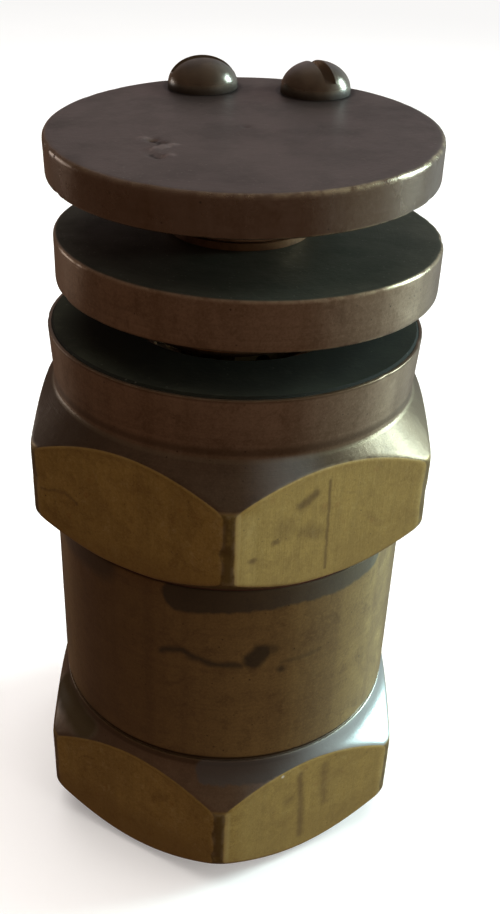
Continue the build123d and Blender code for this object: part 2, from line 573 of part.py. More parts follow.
# Circlip that keeps the strainer down.
CIRCLIP_BOTTOM = INLET_BORE_TOP + STRAINER_THICKNESS + FACE_GAP
with BuildPart() as strainer_circlip:
    with BuildSketch(Plane.XY.offset(CIRCLIP_BOTTOM)):
        Circle(CIRCLIP_OUTER_RADIUS)
        Circle(CIRCLIP_INNER_RADIUS, mode=Mode.SUBTRACT)
        gap_reach = 2 * CIRCLIP_OUTER_RADIUS
        gap_rise = gap_reach * math.tan(math.radians(CIRCLIP_GAP_HALF_ANGLE))
        Polygon((0, 0), (gap_reach, -gap_rise), (gap_reach, gap_rise), align=None, mode=Mode.SUBTRACT)
        for lug_side in (-1, 1):
            with PolarLocations(CIRCLIP_LUG_CIRCLE, 1, start_angle=lug_side * CIRCLIP_GAP_HALF_ANGLE):
                Circle(CIRCLIP_LUG_RADIUS)
        for lug_side in (-1, 1):
            with PolarLocations(CIRCLIP_LUG_CIRCLE, 1, start_angle=lug_side * CIRCLIP_GAP_HALF_ANGLE):
                Circle(CIRCLIP_LUG_HOLE_RADIUS, mode=Mode.SUBTRACT)
    extrude(amount=CIRCLIP_THICKNESS)

NODES = {
    "body": body,
    "bonnet": bonnet,
    "joint_gasket": joint_gasket,
    "seat_facing": seat_facing,
    "stud": stud,
    "closing_disc": closing_disc,
    "disc_spring": disc_spring,
    "thrust_washer": thrust_washer,
    "cap": cap,
    "lock_screws": lock_screws,
    "lever_bracket": lever_bracket,
    "pivot_pin": pivot_pin,
    "nozzle": nozzle,
    "nozzle_washer": nozzle_washer,
    "needle": needle,
    "needle_pin": needle_pin,
    "float_lever": float_lever,
    "float_lower_shell": float_lower_shell,
    "float_upper_shell": float_upper_shell,
    "float_stem": float_stem,
    "float_pin": float_pin,
    "strainer": strainer,
    "strainer_circlip": strainer_circlip,
}

for node_name, built in NODES.items():
    built.part.label = node_name
    export_step(built.part, f"parts/{node_name}.step")
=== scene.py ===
"""Automatic air vent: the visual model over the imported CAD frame.

Blender works in metres; the shapes below are in millimetres and are scaled by MM. +Z is up, and the
front corner of both hexagons points towards -Y, as in the frame. The light comes from the right and a
little behind.
"""

import math
import random

import bmesh
import bpy
from mathutils import Matrix, Vector


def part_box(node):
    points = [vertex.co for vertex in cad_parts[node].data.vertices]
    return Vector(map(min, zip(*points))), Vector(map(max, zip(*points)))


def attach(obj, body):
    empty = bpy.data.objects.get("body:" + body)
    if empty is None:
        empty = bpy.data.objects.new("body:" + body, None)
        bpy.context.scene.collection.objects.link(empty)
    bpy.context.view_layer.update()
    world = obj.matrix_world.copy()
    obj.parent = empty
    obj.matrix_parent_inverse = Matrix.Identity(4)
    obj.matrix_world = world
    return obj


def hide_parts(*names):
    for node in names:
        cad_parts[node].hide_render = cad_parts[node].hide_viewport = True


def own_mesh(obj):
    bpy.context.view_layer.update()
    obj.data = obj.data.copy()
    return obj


MM = 0.001
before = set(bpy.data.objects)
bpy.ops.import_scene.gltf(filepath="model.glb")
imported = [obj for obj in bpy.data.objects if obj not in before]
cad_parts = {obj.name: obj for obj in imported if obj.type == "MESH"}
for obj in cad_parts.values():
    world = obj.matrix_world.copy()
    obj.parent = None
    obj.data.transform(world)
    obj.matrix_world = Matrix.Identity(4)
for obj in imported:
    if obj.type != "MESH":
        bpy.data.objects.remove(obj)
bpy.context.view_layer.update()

# --- shape of the turned pieces, millimetres ------------------------------------------------
HEX_HALF_FLATS = 18.0
HEX_CORNER_RADIUS = 20.5
BARREL_RADIUS = 17.4
INLET_HEX_TOP = 10.85
INLET_FLARE_RADIUS = 17.85
INLET_FLARE_Z = 13.7
INLET_CONE_TOP = 14.9
SHOULDER_GROOVE_RADIUS = 17.12
BODY_TOP = 36.0
SPIGOT_BORE_RADIUS = 15.0
SPIGOT_BORE_BOTTOM = 27.0
CHAMBER_RADIUS = 14.2
CIRCLIP_GROOVE_RADIUS = 14.85
CIRCLIP_GROOVE_BOTTOM = 15.0
CIRCLIP_GROOVE_TOP = 15.9
THREAD_PITCH = 1.814
THREAD_DEPTH = 1.0
THREAD_START = 0.6
THREAD_END = 12.6
INLET_BORE_RADIUS = 12.06
INLET_BORE_TOP = 14.0

BONNET_BOTTOM = 36.7
BONNET_HEX_TOP = 46.0
BONNET_BORE_RADIUS = 13.2
SPIGOT_RADIUS = 14.97
SPIGOT_BOTTOM = 28.2
SPIGOT_RELIEF_RADIUS = 14.5
SPIGOT_RELIEF_BOTTOM = 35.2
WEB_BOTTOM = 41.5
WEB_TOP = 50.8
WEB_THREAD_RADIUS = 4.0
AIR_PASSAGE_RADIUS = 2.0
NOZZLE_THREAD_TOP = 46.0
STUD_FOOT = 47.0
SPRING_WELL_RADIUS = 10.0
COLLAR_FOOT = 49.3
COLLAR_TOP = 54.8
COLLAR_FOOT_RADIUS = 16.92
COLLAR_TOP_RADIUS = 17.28
FACING_RADIUS = 16.95
FACING_FLOOR = 53.3

DISC_BOTTOM = 58.9
DISC_TOP = 63.26
DISC_RADIUS = 17.23
DISC_OFFSET_X = 0.91
DISC_HOLE_RADIUS = 4.0

CAP_TOP = 72.1
CAP_THICKNESS = 3.5
CAP_RADIUS = 17.0
CAP_OFFSET_X = 0.18
CAP_SLOPE_X = 0.0189
CAP_SLOPE_Y = 0.0492
CAP_BORE_DEPTH = 0.8
CAP_PLATE_BORE_RADIUS = 3.45
HUB_RADIUS = 6.1
HUB_BOTTOM = 63.9
HUB_TOP = 69.5
CAP_BORE_RADIUS = 3.0
SCREW_HEAD_RADIUS = 3.3
SCREW_HEAD_HEIGHT = 2.75
BRUISE_RIDGES = (  # lines on the cap's face, each two points (x, y) from the cap's centre
    ((-8.6, -4.0), (-7.7, -3.9)),
    ((-7.3, -7.2), (-5.3, -5.6)),
    ((-6.2, -8.6), (-5.4, -8.2)),
)
BRUISE_PITS = (
    ((-7.5, -4.3), (-6.6, -5.1)),
    ((-7.3, -8.2), (-6.5, -8.8)),
)
CAP_TOP_DENTS = (  # x, y, push and radius: centre mark, bruise on the left, low swelling
    (0.1, -0.2, -0.16, 0.4),
    (-8.3, -4.0, 0.10, 0.5),
    (-7.4, -4.4, -0.34, 0.55),
    (-6.7, -5.1, -0.3, 0.5),
    (-7.2, -6.9, 0.24, 0.55),
    (-6.5, -6.3, 0.26, 0.5),
    (-5.8, -5.7, 0.2, 0.45),
    (-7.2, -8.2, -0.2, 0.5),
    (-6.6, -8.7, -0.3, 0.5),
    (-5.9, -8.3, 0.14, 0.45),
    (3.6, -1.1, 0.06, 1.3),
)

SPRING_RADIUS = 8.0
SPRING_WIRE_RADIUS = 0.5
SPRING_TURNS = 3.5
SPRING_STEPS = 150
SPRING_WIRE_SIDES = 12

SECTORS = 6
STEPS_PER_SECTOR = 52
CORNER_CROWDING = 1.45
EDGE_SOFTNESS = 0.11
FLAT_MARGIN = 0.02
PROFILE_STEP = 0.4
ROUNDING_STEPS = 4

# --- camera, metres; the lens in millimetres ------------------------------------------------
CAMERA_PLACE = (0.0, -0.09062, 0.0932)
CAMERA_RIGHT = Vector((0.99927, 0.00175, 0.03815))
CAMERA_UP = Vector((-0.03371, 0.50990, 0.85957))
CAMERA_BACK = Vector((-0.01795, -0.86023, 0.50958))
CAMERA_LENS = 41.22


# --- mesh building -------------------------------------------------------------------------
def sector_angles():
    """Angles round the axis, crowded near the hexagon's corners; one corner is at -90 degrees."""
    angles = []
    for sector in range(SECTORS):
        for step in range(STEPS_PER_SECTOR):
            t = 2 * step / STEPS_PER_SECTOR - 1
            eased = math.copysign(1 - (1 - abs(t)) ** CORNER_CROWDING, t)
            angles.append(math.radians(-60 + 60 * sector + 30 * eased))
    return angles


def round_corner(before, here, after, radius, kind):
    """Points of one round corner of a profile, as (r, z, edge, kind); a "soft" one has no worn edge."""
    wear = 0.0 if kind == "soft" else 1.0
    back = before - here
    ahead = after - here
    reach = min(radius, 0.45 * back.length, 0.45 * ahead.length)
    start = here + back.normalized() * reach
    end = here + ahead.normalized() * reach
    points = []
    for part in range(ROUNDING_STEPS + 1):
        t = part / ROUNDING_STEPS
        point = start.lerp(here, t).lerp(here.lerp(end, t), t)
        points.append((point.x, point.y, wear * (1.0 - abs(2 * t - 1) * 0.5), kind))
    return points


def rounded(points, step=PROFILE_STEP):
    """Samples (r, z, edge, kind) of a profile given as (r, z, corner radius, kind)."""
    corners = []
    last = len(points) - 1
    for index, (r, z, radius, kind) in enumerate(points):
        if radius <= 0 or index in (0, last):
            corners.append((r, z, 0.0, kind))
        else:
            before = Vector(points[index - 1][:2])
            after = Vector(points[index + 1][:2])
            corners += round_corner(before, Vector((r, z)), after, radius, kind)
    samples = []
    for here, after in zip(corners, corners[1:]):
        samples.append(here)
        length = math.hypot(after[0] - here[0], after[1] - here[1])
        on_cone = here[3] == "hex" and abs(after[0] - here[0]) > 0.1
        pieces = max(1, math.ceil(length / (step / 3 if on_cone else step)))
        for part in range(1, pieces):
            t = part / pieces
            edge = max(here[2] * (1 - 6 * t), after[2] * (1 - 6 * (1 - t)), 0.0)
            r = here[0] + (after[0] - here[0]) * t
            z = here[1] + (after[1] - here[1]) * t
            samples.append((r, z, edge, here[3]))
    samples.append(corners[-1])
    return samples


def soft_min(a, b, softness):
    """Smaller of two radii with a rounded change-over, and how near the change-over it is."""
    gap = abs(a - b)
    blend_width = softness * 4
    if gap >= blend_width:
        return min(a, b), 0.0
    h = (blend_width - gap) / blend_width
    return min(a, b) - h * h * h * blend_width / 6, h


def thread_depth(angle, z):
    """Depth of the inlet's pipe thread outside its crest."""
    if not THREAD_START < z < THREAD_END:
        return 0.0
    phase = (z / THREAD_PITCH - angle / (2 * math.pi)) % 1.0
    height = 1 - abs(2 * phase - 1)
    run_out = (THREAD_END - z) / THREAD_PITCH
    run_in = (z - THREAD_START) / (0.5 * THREAD_PITCH)
    return THREAD_DEPTH * min(1.0, max(0.0, 1.35 * height - 0.15)) * min(1.0, run_out, run_in)


def ring_point(sample, angle):
    """Radius and edge wear of one profile sample at one angle; hexagons cut the round shape."""
    r, z, edge, kind = sample
    if kind in ("hex", "soft"):
        turn = (angle + math.pi / 2) % (math.pi / 3)
        hexagon = HEX_HALF_FLATS / math.cos(turn - math.pi / 6)
        radius, nearness = soft_min(r, hexagon, EDGE_SOFTNESS)
        on_flat = hexagon < r - FLAT_MARGIN
        wear = nearness if kind == "hex" else 0.0
        return radius, max(wear, 0.0 if on_flat else edge)
    if kind == "thread":
        return r + thread_depth(angle, z), edge
    return r, edge


def ring_faces(rows, closed):
    """Faces between neighbouring rows of vertex numbers; a row of one is a pole."""
    faces = []
    following_rows = rows[1:] + rows[:1] if closed else rows[1:]
    for lower, upper in zip(rows, following_rows):
        count = max(len(lower), len(upper))
        for index in range(count):
            after = (index + 1) % count
            if len(lower) == 1:
                faces.append((lower[0], upper[after], upper[index]))
            elif len(upper) == 1:
                faces.append((lower[index], lower[after], upper[0]))
            else:
                faces.append((lower[index], lower[after], upper[after], upper[index]))
    return faces


def push_dents(vertices, dents):
    """Soft dents and ridges, each (centre, push, radius)."""
    for centre, push, radius in dents:
        for vertex in vertices:
            distance = (vertex - centre).length / radius
            if distance < 2.2:
                vertex += push * math.exp(-1.6 * distance * distance)


def new_piece(name, vertices, faces):
    """Smooth object from vertices in millimetres, with its faces turned outwards."""
    mesh = bpy.data.meshes.new(name)
    mesh.from_pydata([vertex * MM for vertex in vertices], [], faces)
    fix = bmesh.new()
    fix.from_mesh(mesh)
    bmesh.ops.recalc_face_normals(fix, faces=fix.faces)
    fix.to_mesh(mesh)
    fix.free()
    mesh.shade_smooth()
    obj = bpy.data.objects.new(name, mesh)
    bpy.context.scene.collection.objects.link(obj)
    return obj


def turned(name, samples, dents, place=Matrix.Identity(4), closed=True):
    """Object turned round the axis, with its wear along the edges as the point attribute "edge"."""
    vertices = []
    edge_mask = []
    rows = []
    for sample in samples:
        r, z, edge, _ = sample
        if r < 1e-6:
            rows.append([len(vertices)])
            vertices.append(Vector((0.0, 0.0, z)))
            edge_mask.append(edge)
            continue
        row = []
        for angle in sector_angles():
            radius, wear = ring_point(sample, angle)
            row.append(len(vertices))
            vertices.append(Vector((radius * math.cos(angle), radius * math.sin(angle), z)))
            edge_mask.append(wear)
        rows.append(row)
    push_dents(vertices, dents)
    obj = new_piece(name, [place @ vertex for vertex in vertices], ring_faces(rows, closed))
    layer = obj.data.attributes.new("edge", "FLOAT", "POINT")
    layer.data.foreach_set("value", edge_mask)
    return obj


def edge_dents(seed, count, radius, heights, size, depth):
    """Small knocks pushed inwards along a round edge at the given heights."""
    chooser = random.Random(seed)
    dents = []
    for _ in range(count):
        angle = chooser.uniform(0, 2 * math.pi)
        z = chooser.choice(heights) + chooser.uniform(-0.15, 0.15)
        out = Vector((math.cos(angle), math.sin(angle), 0))
        push = -out * chooser.uniform(*depth)
        dents.append((out * radius + Vector((0, 0, z)), push, chooser.uniform(*size)))
    return dents


def corner_dents(seed, count, low, high, size, depth):
    """Knocks on the hexagon's six corners."""
    chooser = random.Random(seed)
    dents = []
    for _ in range(count):
        angle = math.radians(-90 + 60 * chooser.randrange(SECTORS)) + chooser.uniform(-0.02, 0.02)
        out = Vector((math.cos(angle), math.sin(angle), 0))
        push = -out * chooser.uniform(*depth)
        centre = out * HEX_CORNER_RADIUS + Vector((0, 0, chooser.uniform(low, high)))
        dents.append((centre, push, chooser.uniform(*size)))
    return dents


def bore(*points):
    """Profile points of hidden inner walls, given as (r, z), with sharp corners."""
    return [(r, z, 0, "bore") for r, z in points]


def build_body():
    """Inlet hexagon, barrel and threaded inlet."""
    profile = bore(
        (SPIGOT_BORE_RADIUS, BODY_TOP),
        (SPIGOT_BORE_RADIUS, SPIGOT_BORE_BOTTOM),
        (CHAMBER_RADIUS, SPIGOT_BORE_BOTTOM),
        (CHAMBER_RADIUS, CIRCLIP_GROOVE_TOP),
        (CIRCLIP_GROOVE_RADIUS, CIRCLIP_GROOVE_TOP),
        (CIRCLIP_GROOVE_RADIUS, CIRCLIP_GROOVE_BOTTOM),
        (CHAMBER_RADIUS, CIRCLIP_GROOVE_BOTTOM),
        (CHAMBER_RADIUS, INLET_BORE_TOP),
        (INLET_BORE_RADIUS, INLET_BORE_TOP),
    )
    profile += [
        (INLET_BORE_RADIUS, THREAD_END, 0, "thread"),
        (INLET_BORE_RADIUS, 1.24, 0, "thread"),
        (13.3, 0, 0.15, "turned"),
        (17.0, 0, 0.25, "hex"),
        (HEX_CORNER_RADIUS, 3.6, 0.5, "hex"),
        (HEX_CORNER_RADIUS, INLET_HEX_TOP, 0.5, "hex"),
        (INLET_FLARE_RADIUS, INLET_FLARE_Z, 0.8, "soft"),
        (BARREL_RADIUS - 0.03, INLET_CONE_TOP, 0.12, "soft"),
        (SHOULDER_GROOVE_RADIUS, INLET_CONE_TOP + 0.04, 0.08, "soft"),
        (SHOULDER_GROOVE_RADIUS, INLET_CONE_TOP + 0.32, 0.08, "soft"),
        (BARREL_RADIUS, INLET_CONE_TOP + 0.6, 0.2, "soft"),
        (BARREL_RADIUS, BODY_TOP, 0.3, "soft"),
        (SPIGOT_BORE_RADIUS, BODY_TOP, 0, "bore"),
    ]
    dents = corner_dents(11, 16, 4.5, 10.0, (0.4, 0.9), (0.02, 0.07))
    dents += edge_dents(12, 10, BARREL_RADIUS, (17, 20, 24, 29, 33), (0.5, 1.4), (0.02, 0.05))
    return turned("body_visual", rounded(profile)[:-1], dents)


def build_bonnet():
    """Upper hexagon, cone and collar with its seat recess."""
    profile = bore(
        (BONNET_BORE_RADIUS, SPIGOT_BOTTOM),
        (SPIGOT_RADIUS - 0.4, SPIGOT_BOTTOM),
        (SPIGOT_RADIUS, SPIGOT_BOTTOM + 0.4),
        (SPIGOT_RADIUS, SPIGOT_RELIEF_BOTTOM),
        (SPIGOT_RELIEF_RADIUS, SPIGOT_RELIEF_BOTTOM),
        (SPIGOT_RELIEF_RADIUS, BONNET_BOTTOM),
    )
    profile += [
        (18.05, BONNET_BOTTOM, 0.25, "hex"),
        (HEX_CORNER_RADIUS, 38.9, 0.5, "hex"),
        (HEX_CORNER_RADIUS, BONNET_HEX_TOP, 0.5, "hex"),
        (COLLAR_FOOT_RADIUS, COLLAR_FOOT, 0.35, "soft"),
        (COLLAR_TOP_RADIUS, COLLAR_TOP, 0.3, "turned"),
        (FACING_RADIUS, COLLAR_TOP, 0.05, "turned"),
    ]
    profile += bore(
        (FACING_RADIUS, FACING_FLOOR),
        (SPRING_WELL_RADIUS, FACING_FLOOR),
        (SPRING_WELL_RADIUS, WEB_TOP),
        (WEB_THREAD_RADIUS, WEB_TOP),
        (WEB_THREAD_RADIUS, STUD_FOOT),
        (AIR_PASSAGE_RADIUS, STUD_FOOT),
        (AIR_PASSAGE_RADIUS, NOZZLE_THREAD_TOP),
        (WEB_THREAD_RADIUS, NOZZLE_THREAD_TOP),
        (WEB_THREAD_RADIUS, WEB_BOTTOM),
        (BONNET_BORE_RADIUS, WEB_BOTTOM),
        (BONNET_BORE_RADIUS, SPIGOT_BOTTOM),
    )
    dents = corner_dents(21, 16, 39.5, 45.5, (0.4, 0.9), (0.02, 0.07))
    dents += edge_dents(22, 14, COLLAR_TOP_RADIUS, (COLLAR_TOP,), (0.4, 0.9), (0.03, 0.1))
    return turned("bonnet_visual", rounded(profile)[:-1], dents)


def build_disc():
    """Loose middle disc with worn edges."""
    profile = [
        (DISC_HOLE_RADIUS, DISC_TOP, 0.2, "turned"),
        (DISC_HOLE_RADIUS, DISC_BOTTOM, 0.2, "turned"),
        (DISC_RADIUS, DISC_BOTTOM, 0.42, "turned"),
        (DISC_RADIUS, DISC_TOP, 0.34, "turned"),
        (DISC_HOLE_RADIUS, DISC_TOP, 0.2, "turned"),
    ]
    dents = edge_dents(31, 18, DISC_RADIUS, (DISC_TOP, DISC_BOTTOM), (0.35, 0.9), (0.04, 0.12))
    place = Matrix.Translation(Vector((DISC_OFFSET_X, 0, 0)))
    return turned("disc_visual", rounded(profile)[:-1], dents, place)


def cap_place():
    """Frame of the cap plate: its top face is z = 0, and it leans a little towards the front."""
    normal = Vector((-CAP_SLOPE_X, -CAP_SLOPE_Y, 1.0)).normalized()
    across = Vector((1, 0, CAP_SLOPE_X)).normalized()
    along = normal.cross(across)
    turn = Matrix((across, along, normal)).transposed().to_4x4()
    return Matrix.Translation(Vector((CAP_OFFSET_X, 0, CAP_TOP))) @ turn


def build_cap():
    """Top plate with knocked edges, a bruise on the left and a centre mark."""
    bore_floor = -CAP_BORE_DEPTH
    profile = [
        (0, 0, 0, "turned"),
        (CAP_RADIUS, 0, 0.5, "turned"),
        (CAP_RADIUS, -CAP_THICKNESS, 0.35, "turned"),
        (CAP_PLATE_BORE_RADIUS, -CAP_THICKNESS, 0, "turned"),
        (CAP_PLATE_BORE_RADIUS, bore_floor, 0, "turned"),
        (0, bore_floor, 0, "turned"),
    ]
    dents = [(Vector((x, y, 0)), Vector((0, 0, push)), size) for x, y, push, size in CAP_TOP_DENTS]
    dents += edge_dents(41, 20, CAP_RADIUS, (0.0, -CAP_THICKNESS), (0.35, 0.9), (0.04, 0.13))
    return turned("cap_visual", rounded(profile, 0.32), dents, cap_place(), closed=False)


def build_hub():
    """Hub under the cap, on the stud's axis."""
    profile = [
        (CAP_BORE_RADIUS, HUB_TOP, 0, "turned"),
        (CAP_BORE_RADIUS, HUB_BOTTOM, 0.2, "turned"),
        (HUB_RADIUS, HUB_BOTTOM, 0.3, "turned"),
        (HUB_RADIUS, HUB_TOP, 0, "turned"),
        (CAP_BORE_RADIUS, HUB_TOP, 0, "turned"),
    ]
    return turned("hub_visual", rounded(profile, 0.5)[:-1], [])


def build_spring():
    """Coil of round wire under the disc."""
    low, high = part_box("disc_spring")
    bottom = low[2] / MM + SPRING_WIRE_RADIUS
    rise = (high[2] - low[2]) / MM - 2 * SPRING_WIRE_RADIUS
    vertices = []
    rows = []
    for step in range(SPRING_STEPS + 1):
        t = step / SPRING_STEPS
        angle = 2 * math.pi * SPRING_TURNS * t
        out = Vector((math.cos(angle), math.sin(angle), 0))
        centre = out * SPRING_RADIUS + Vector((0, 0, bottom + rise * t))
        row = []
        for side in range(SPRING_WIRE_SIDES):
            turn = 2 * math.pi * side / SPRING_WIRE_SIDES
            offset = out * math.cos(turn) + Vector((0, 0, math.sin(turn)))
            row.append(len(vertices))
            vertices.append(centre + offset * SPRING_WIRE_RADIUS)
        rows.append(row)
    faces = ring_faces(rows, False)
    faces.append(tuple(rows[0]))
    faces.append(tuple(reversed(rows[-1])))
    return new_piece("spring_visual", vertices, faces)


# --- node trees ----------------------------------------------------------------------------
class Nodes:
    """Short-hand for filling one node tree."""

    def __init__(self, tree):
        self.tree = tree
        tree.nodes.clear()

    def add(self, kind):
        return self.tree.nodes.new(kind)

    def put(self, socket, value):
        """Links a socket or sets a constant."""
        if hasattr(value, "is_output"):
            self.tree.links.new(value, socket)
        elif isinstance(value, (tuple, list)) and len(value) == 3 and socket.type == "RGBA":
            socket.default_value = (*value, 1)
        else:
            socket.default_value = value

    def math(self, operation, a, b=0.0, clamp=False):
        node = self.add("ShaderNodeMath")
        node.operation = operation
        node.use_clamp = clamp
        self.put(node.inputs[0], a)
        self.put(node.inputs[1], b)
        return node.outputs[0]

    def fold(self, operation, values):
        """One operation carried through all the values."""
        result = values[0]
        for value in values[1:]:
            result = self.math(operation, result, value)
        return result

    def product(self, *values):
        return self.fold("MULTIPLY", values)

    def highest(self, *values):
        return self.fold("MAXIMUM", values)

    def vector_math(self, operation, a, b, output="Vector"):
        node = self.add("ShaderNodeVectorMath")
        node.operation = operation
        self.put(node.inputs[0], a)
        self.put(node.inputs[1], b)
        return node.outputs[output]

    def scaled(self, vector, factor):
        node = self.add("ShaderNodeVectorMath")
        node.operation = "SCALE"
        self.put(node.inputs[0], vector)
        self.put(node.inputs["Scale"], factor)
        return node.outputs[0]

    def split(self, vector):
        node = self.add("ShaderNodeSeparateXYZ")
        self.put(node.inputs[0], vector)
        return node.outputs[0], node.outputs[1], node.outputs[2]

    def join(self, x, y, z):
        node = self.add("ShaderNodeCombineXYZ")
        for socket, value in zip(node.inputs, (x, y, z)):
            self.put(socket, value)
        return node.outputs[0]

    def ramp(self, value, low, high, invert=False):
        """Smooth 0 to 1 as value goes from low to high, or the other way round."""
        node = self.add("ShaderNodeMapRange")
        node.interpolation_type = "SMOOTHSTEP"
        self.put(node.inputs["Value"], value)
        node.inputs["From Min"].default_value = low
        node.inputs["From Max"].default_value = high
        node.inputs["To Min"].default_value = 1.0 if invert else 0.0
        node.inputs["To Max"].default_value = 0.0 if invert else 1.0
        return node.outputs[0]

    def between(self, value, low, high, soft):
        """1 while value is between low and high, fading over soft."""
        rise = self.ramp(value, low - soft, low + soft)
        fall = self.ramp(value, high - soft, high + soft, invert=True)
        return self.product(rise, fall)

    def mix(self, factor, a, b):
        node = self.add("ShaderNodeMix")
        node.data_type = "RGBA"
        self.put(node.inputs[0], factor)
        self.put(node.inputs[6], a)
        self.put(node.inputs[7], b)
        return node.outputs[2]

    def blend(self, factor, a, b):
        node = self.add("ShaderNodeMix")
        node.data_type = "FLOAT"
        self.put(node.inputs[0], factor)
        self.put(node.inputs[2], a)
        self.put(node.inputs[3], b)
        return node.outputs[0]


class Surface(Nodes):
    """Node material of one piece. Its coordinates are in millimetres."""

    MM_PER_DEGREE = 0.31

    def __init__(self, name, axis_x=0.0):
        self.material = bpy.data.materials.new(name)
        self.material.use_nodes = True
        super().__init__(self.material.node_tree)
        self.shader = self.add("ShaderNodeBsdfPrincipled")
        output = self.add("ShaderNodeOutputMaterial")
        self.tree.links.new(self.shader.outputs[0], output.inputs[0])
        metres = self.add("ShaderNodeTexCoord").outputs["Object"]
        millimetres = self.scaled(metres, 1 / MM)
        self.place = self.vector_math("SUBTRACT", millimetres, (axis_x, 0, 0))
        self.x, self.y, self.z = self.split(self.place)
        squares = self.math("ADD", self.product(self.x, self.x), self.product(self.y, self.y))
        self.radius = self.math("SQRT", squares)
        turn = self.math("ARCTAN2", self.x, self.product(self.y, -1.0))
        self.degrees = self.product(turn, math.degrees(1))
        self.around = self.product(self.degrees, self.MM_PER_DEGREE)
        self.unrolled = self.join(self.around, self.z, 0.0)
        self.lathe = self.join(self.radius, 0.0, self.z)

    def lay(self, tone, colour, *masks):
        """The tone with a colour laid over it where all the masks are high."""
        return self.mix(self.product(*masks), tone, colour)

    def attribute(self, name):
        node = self.add("ShaderNodeAttribute")
        node.attribute_name = name
        return node.outputs["Fac"]

    def stretched(self, x, y, z):
        return self.vector_math("MULTIPLY", self.place, (x, y, z))

    def noise(self, scale, detail=4.0, rough=0.55, vector=None, distortion=0.0, output="Fac"):
        """Cloudy noise; scale is in cells per millimetre."""
        node = self.add("ShaderNodeTexNoise")
        self.put(node.inputs["Vector"], self.place if vector is None else vector)
        node.inputs["Scale"].default_value = scale
        node.inputs["Detail"].default_value = detail
        node.inputs["Roughness"].default_value = rough
        node.inputs["Distortion"].default_value = distortion
        return node.outputs[output]

    def specks(self, scale, size, share):
        """Small round spots, in patches that cover about the given share of the surface."""
        node = self.add("ShaderNodeTexVoronoi")
        self.put(node.inputs["Vector"], self.place)
        node.inputs["Scale"].default_value = scale
        spot = self.ramp(node.outputs["Distance"], size * 0.5, size, invert=True)
        patch = self.ramp(self.noise(scale * 0.35, 2), 0.62 - 0.25 * share, 0.72 - 0.25 * share)
        return self.product(spot, patch)

    def shaken(self, vector, amount, scale, detail):
        """Coordinates shaken by noise, for marks with uneven edges."""
        shake = self.noise(scale, detail, output="Color")
        shake = self.vector_math("SUBTRACT", shake, (0.5, 0.5, 0.5))
        return self.vector_math("ADD", vector, self.scaled(shake, amount))

    def wavering(self, amount, scale):
        """Unrolled coordinates, shaken."""
        return self.shaken(self.unrolled, amount, scale, 3)

    def flattened(self, vector):
        """The coordinates with their height left out."""
        x, y, _ = self.split(vector)
        return self.join(x, y, 0.0)

    def stroke(self, coordinates, points, radius, soft):
        """Mask of a stroke through (degrees right of the front, height) points."""
        places = [Vector((degrees * self.MM_PER_DEGREE, height, 0)) for degrees, height in points]
        distances = []
        if len(places) == 1:
            distances.append(self.vector_math("DISTANCE", coordinates, places[0], "Value"))
        for start, end in zip(places, places[1:]):
            span = end - start
            offset = self.vector_math("SUBTRACT", coordinates, start)
            along = self.vector_math("DOT_PRODUCT", offset, span / span.length_squared, "Value")
            foot = self.scaled(tuple(span), self.math("ADD", along, 0.0, clamp=True))
            distances.append(self.vector_math("DISTANCE", offset, foot, "Value"))
        nearest = self.fold("MINIMUM", distances)
        return self.ramp(nearest, radius - soft, radius + soft, invert=True)

    def marks(self, coordinates, table):
        """Mask of the strongest of several strokes, each (points, radius, softness, strength)."""
        strokes = []
        for points, radius, soft, strength in table:
            strokes.append(self.product(self.stroke(coordinates, points, radius, soft), strength))
        return self.highest(*strokes)

    def hexagon_flat(self):
        """1 on the hexagon's flats, 0 on the cones and corners."""
        distances = []
        for turn in (0, 60, 120):
            across = self.product(self.x, math.cos(math.radians(turn)))
            along = self.product(self.y, math.sin(math.radians(turn)))
            distances.append(self.math("ABSOLUTE", self.math("ADD", across, along)))
        return self.ramp(self.highest(*distances), HEX_HALF_FLATS - 0.10, HEX_HALF_FLATS - 0.04)

    def normal_z(self):
        return self.split(self.add("ShaderNodeNewGeometry").outputs["Normal"])[2]

    def facing_up(self):
        """1 on faces that look up, 0 on walls and undersides."""
        return self.ramp(self.normal_z(), 0.80, 0.95)

    def bump(self, height, strength, depth, normal=None):
        """Bump of the given depth in millimetres."""
        node = self.add("ShaderNodeBump")
        node.inputs["Strength"].default_value = strength
        node.inputs["Distance"].default_value = depth * MM
        self.put(node.inputs["Height"], height)
        if normal is not None:
            self.put(node.inputs["Normal"], normal)
        return node.outputs[0]

    def brushed_round(self, amount):
        """Highlights drawn out along the axis, as lathe marks do."""
        tangent = self.add("ShaderNodeTangent")
        tangent.direction_type = "RADIAL"
        tangent.axis = "Z"
        self.put(self.shader.inputs["Tangent"], tangent.outputs[0])
        self.put(self.shader.inputs["Anisotropic"], amount)
        self.shader.inputs["Anisotropic Rotation"].default_value = 0.25

    def finish(self, colour, metallic, roughness, normal, coat=0.0, coat_roughness=0.25):
        self.put(self.shader.inputs["Base Color"], colour)
        self.put(self.shader.inputs["Metallic"], metallic)
        self.put(self.shader.inputs["Roughness"], roughness)
        self.put(self.shader.inputs["Normal"], normal)
        self.put(self.shader.inputs["Coat Weight"], coat)
        self.put(self.shader.inputs["Coat Roughness"], coat_roughness)
        return self.material


def darker(colour, factor):
    """The colour times one number."""
    return tuple(part * factor for part in colour)


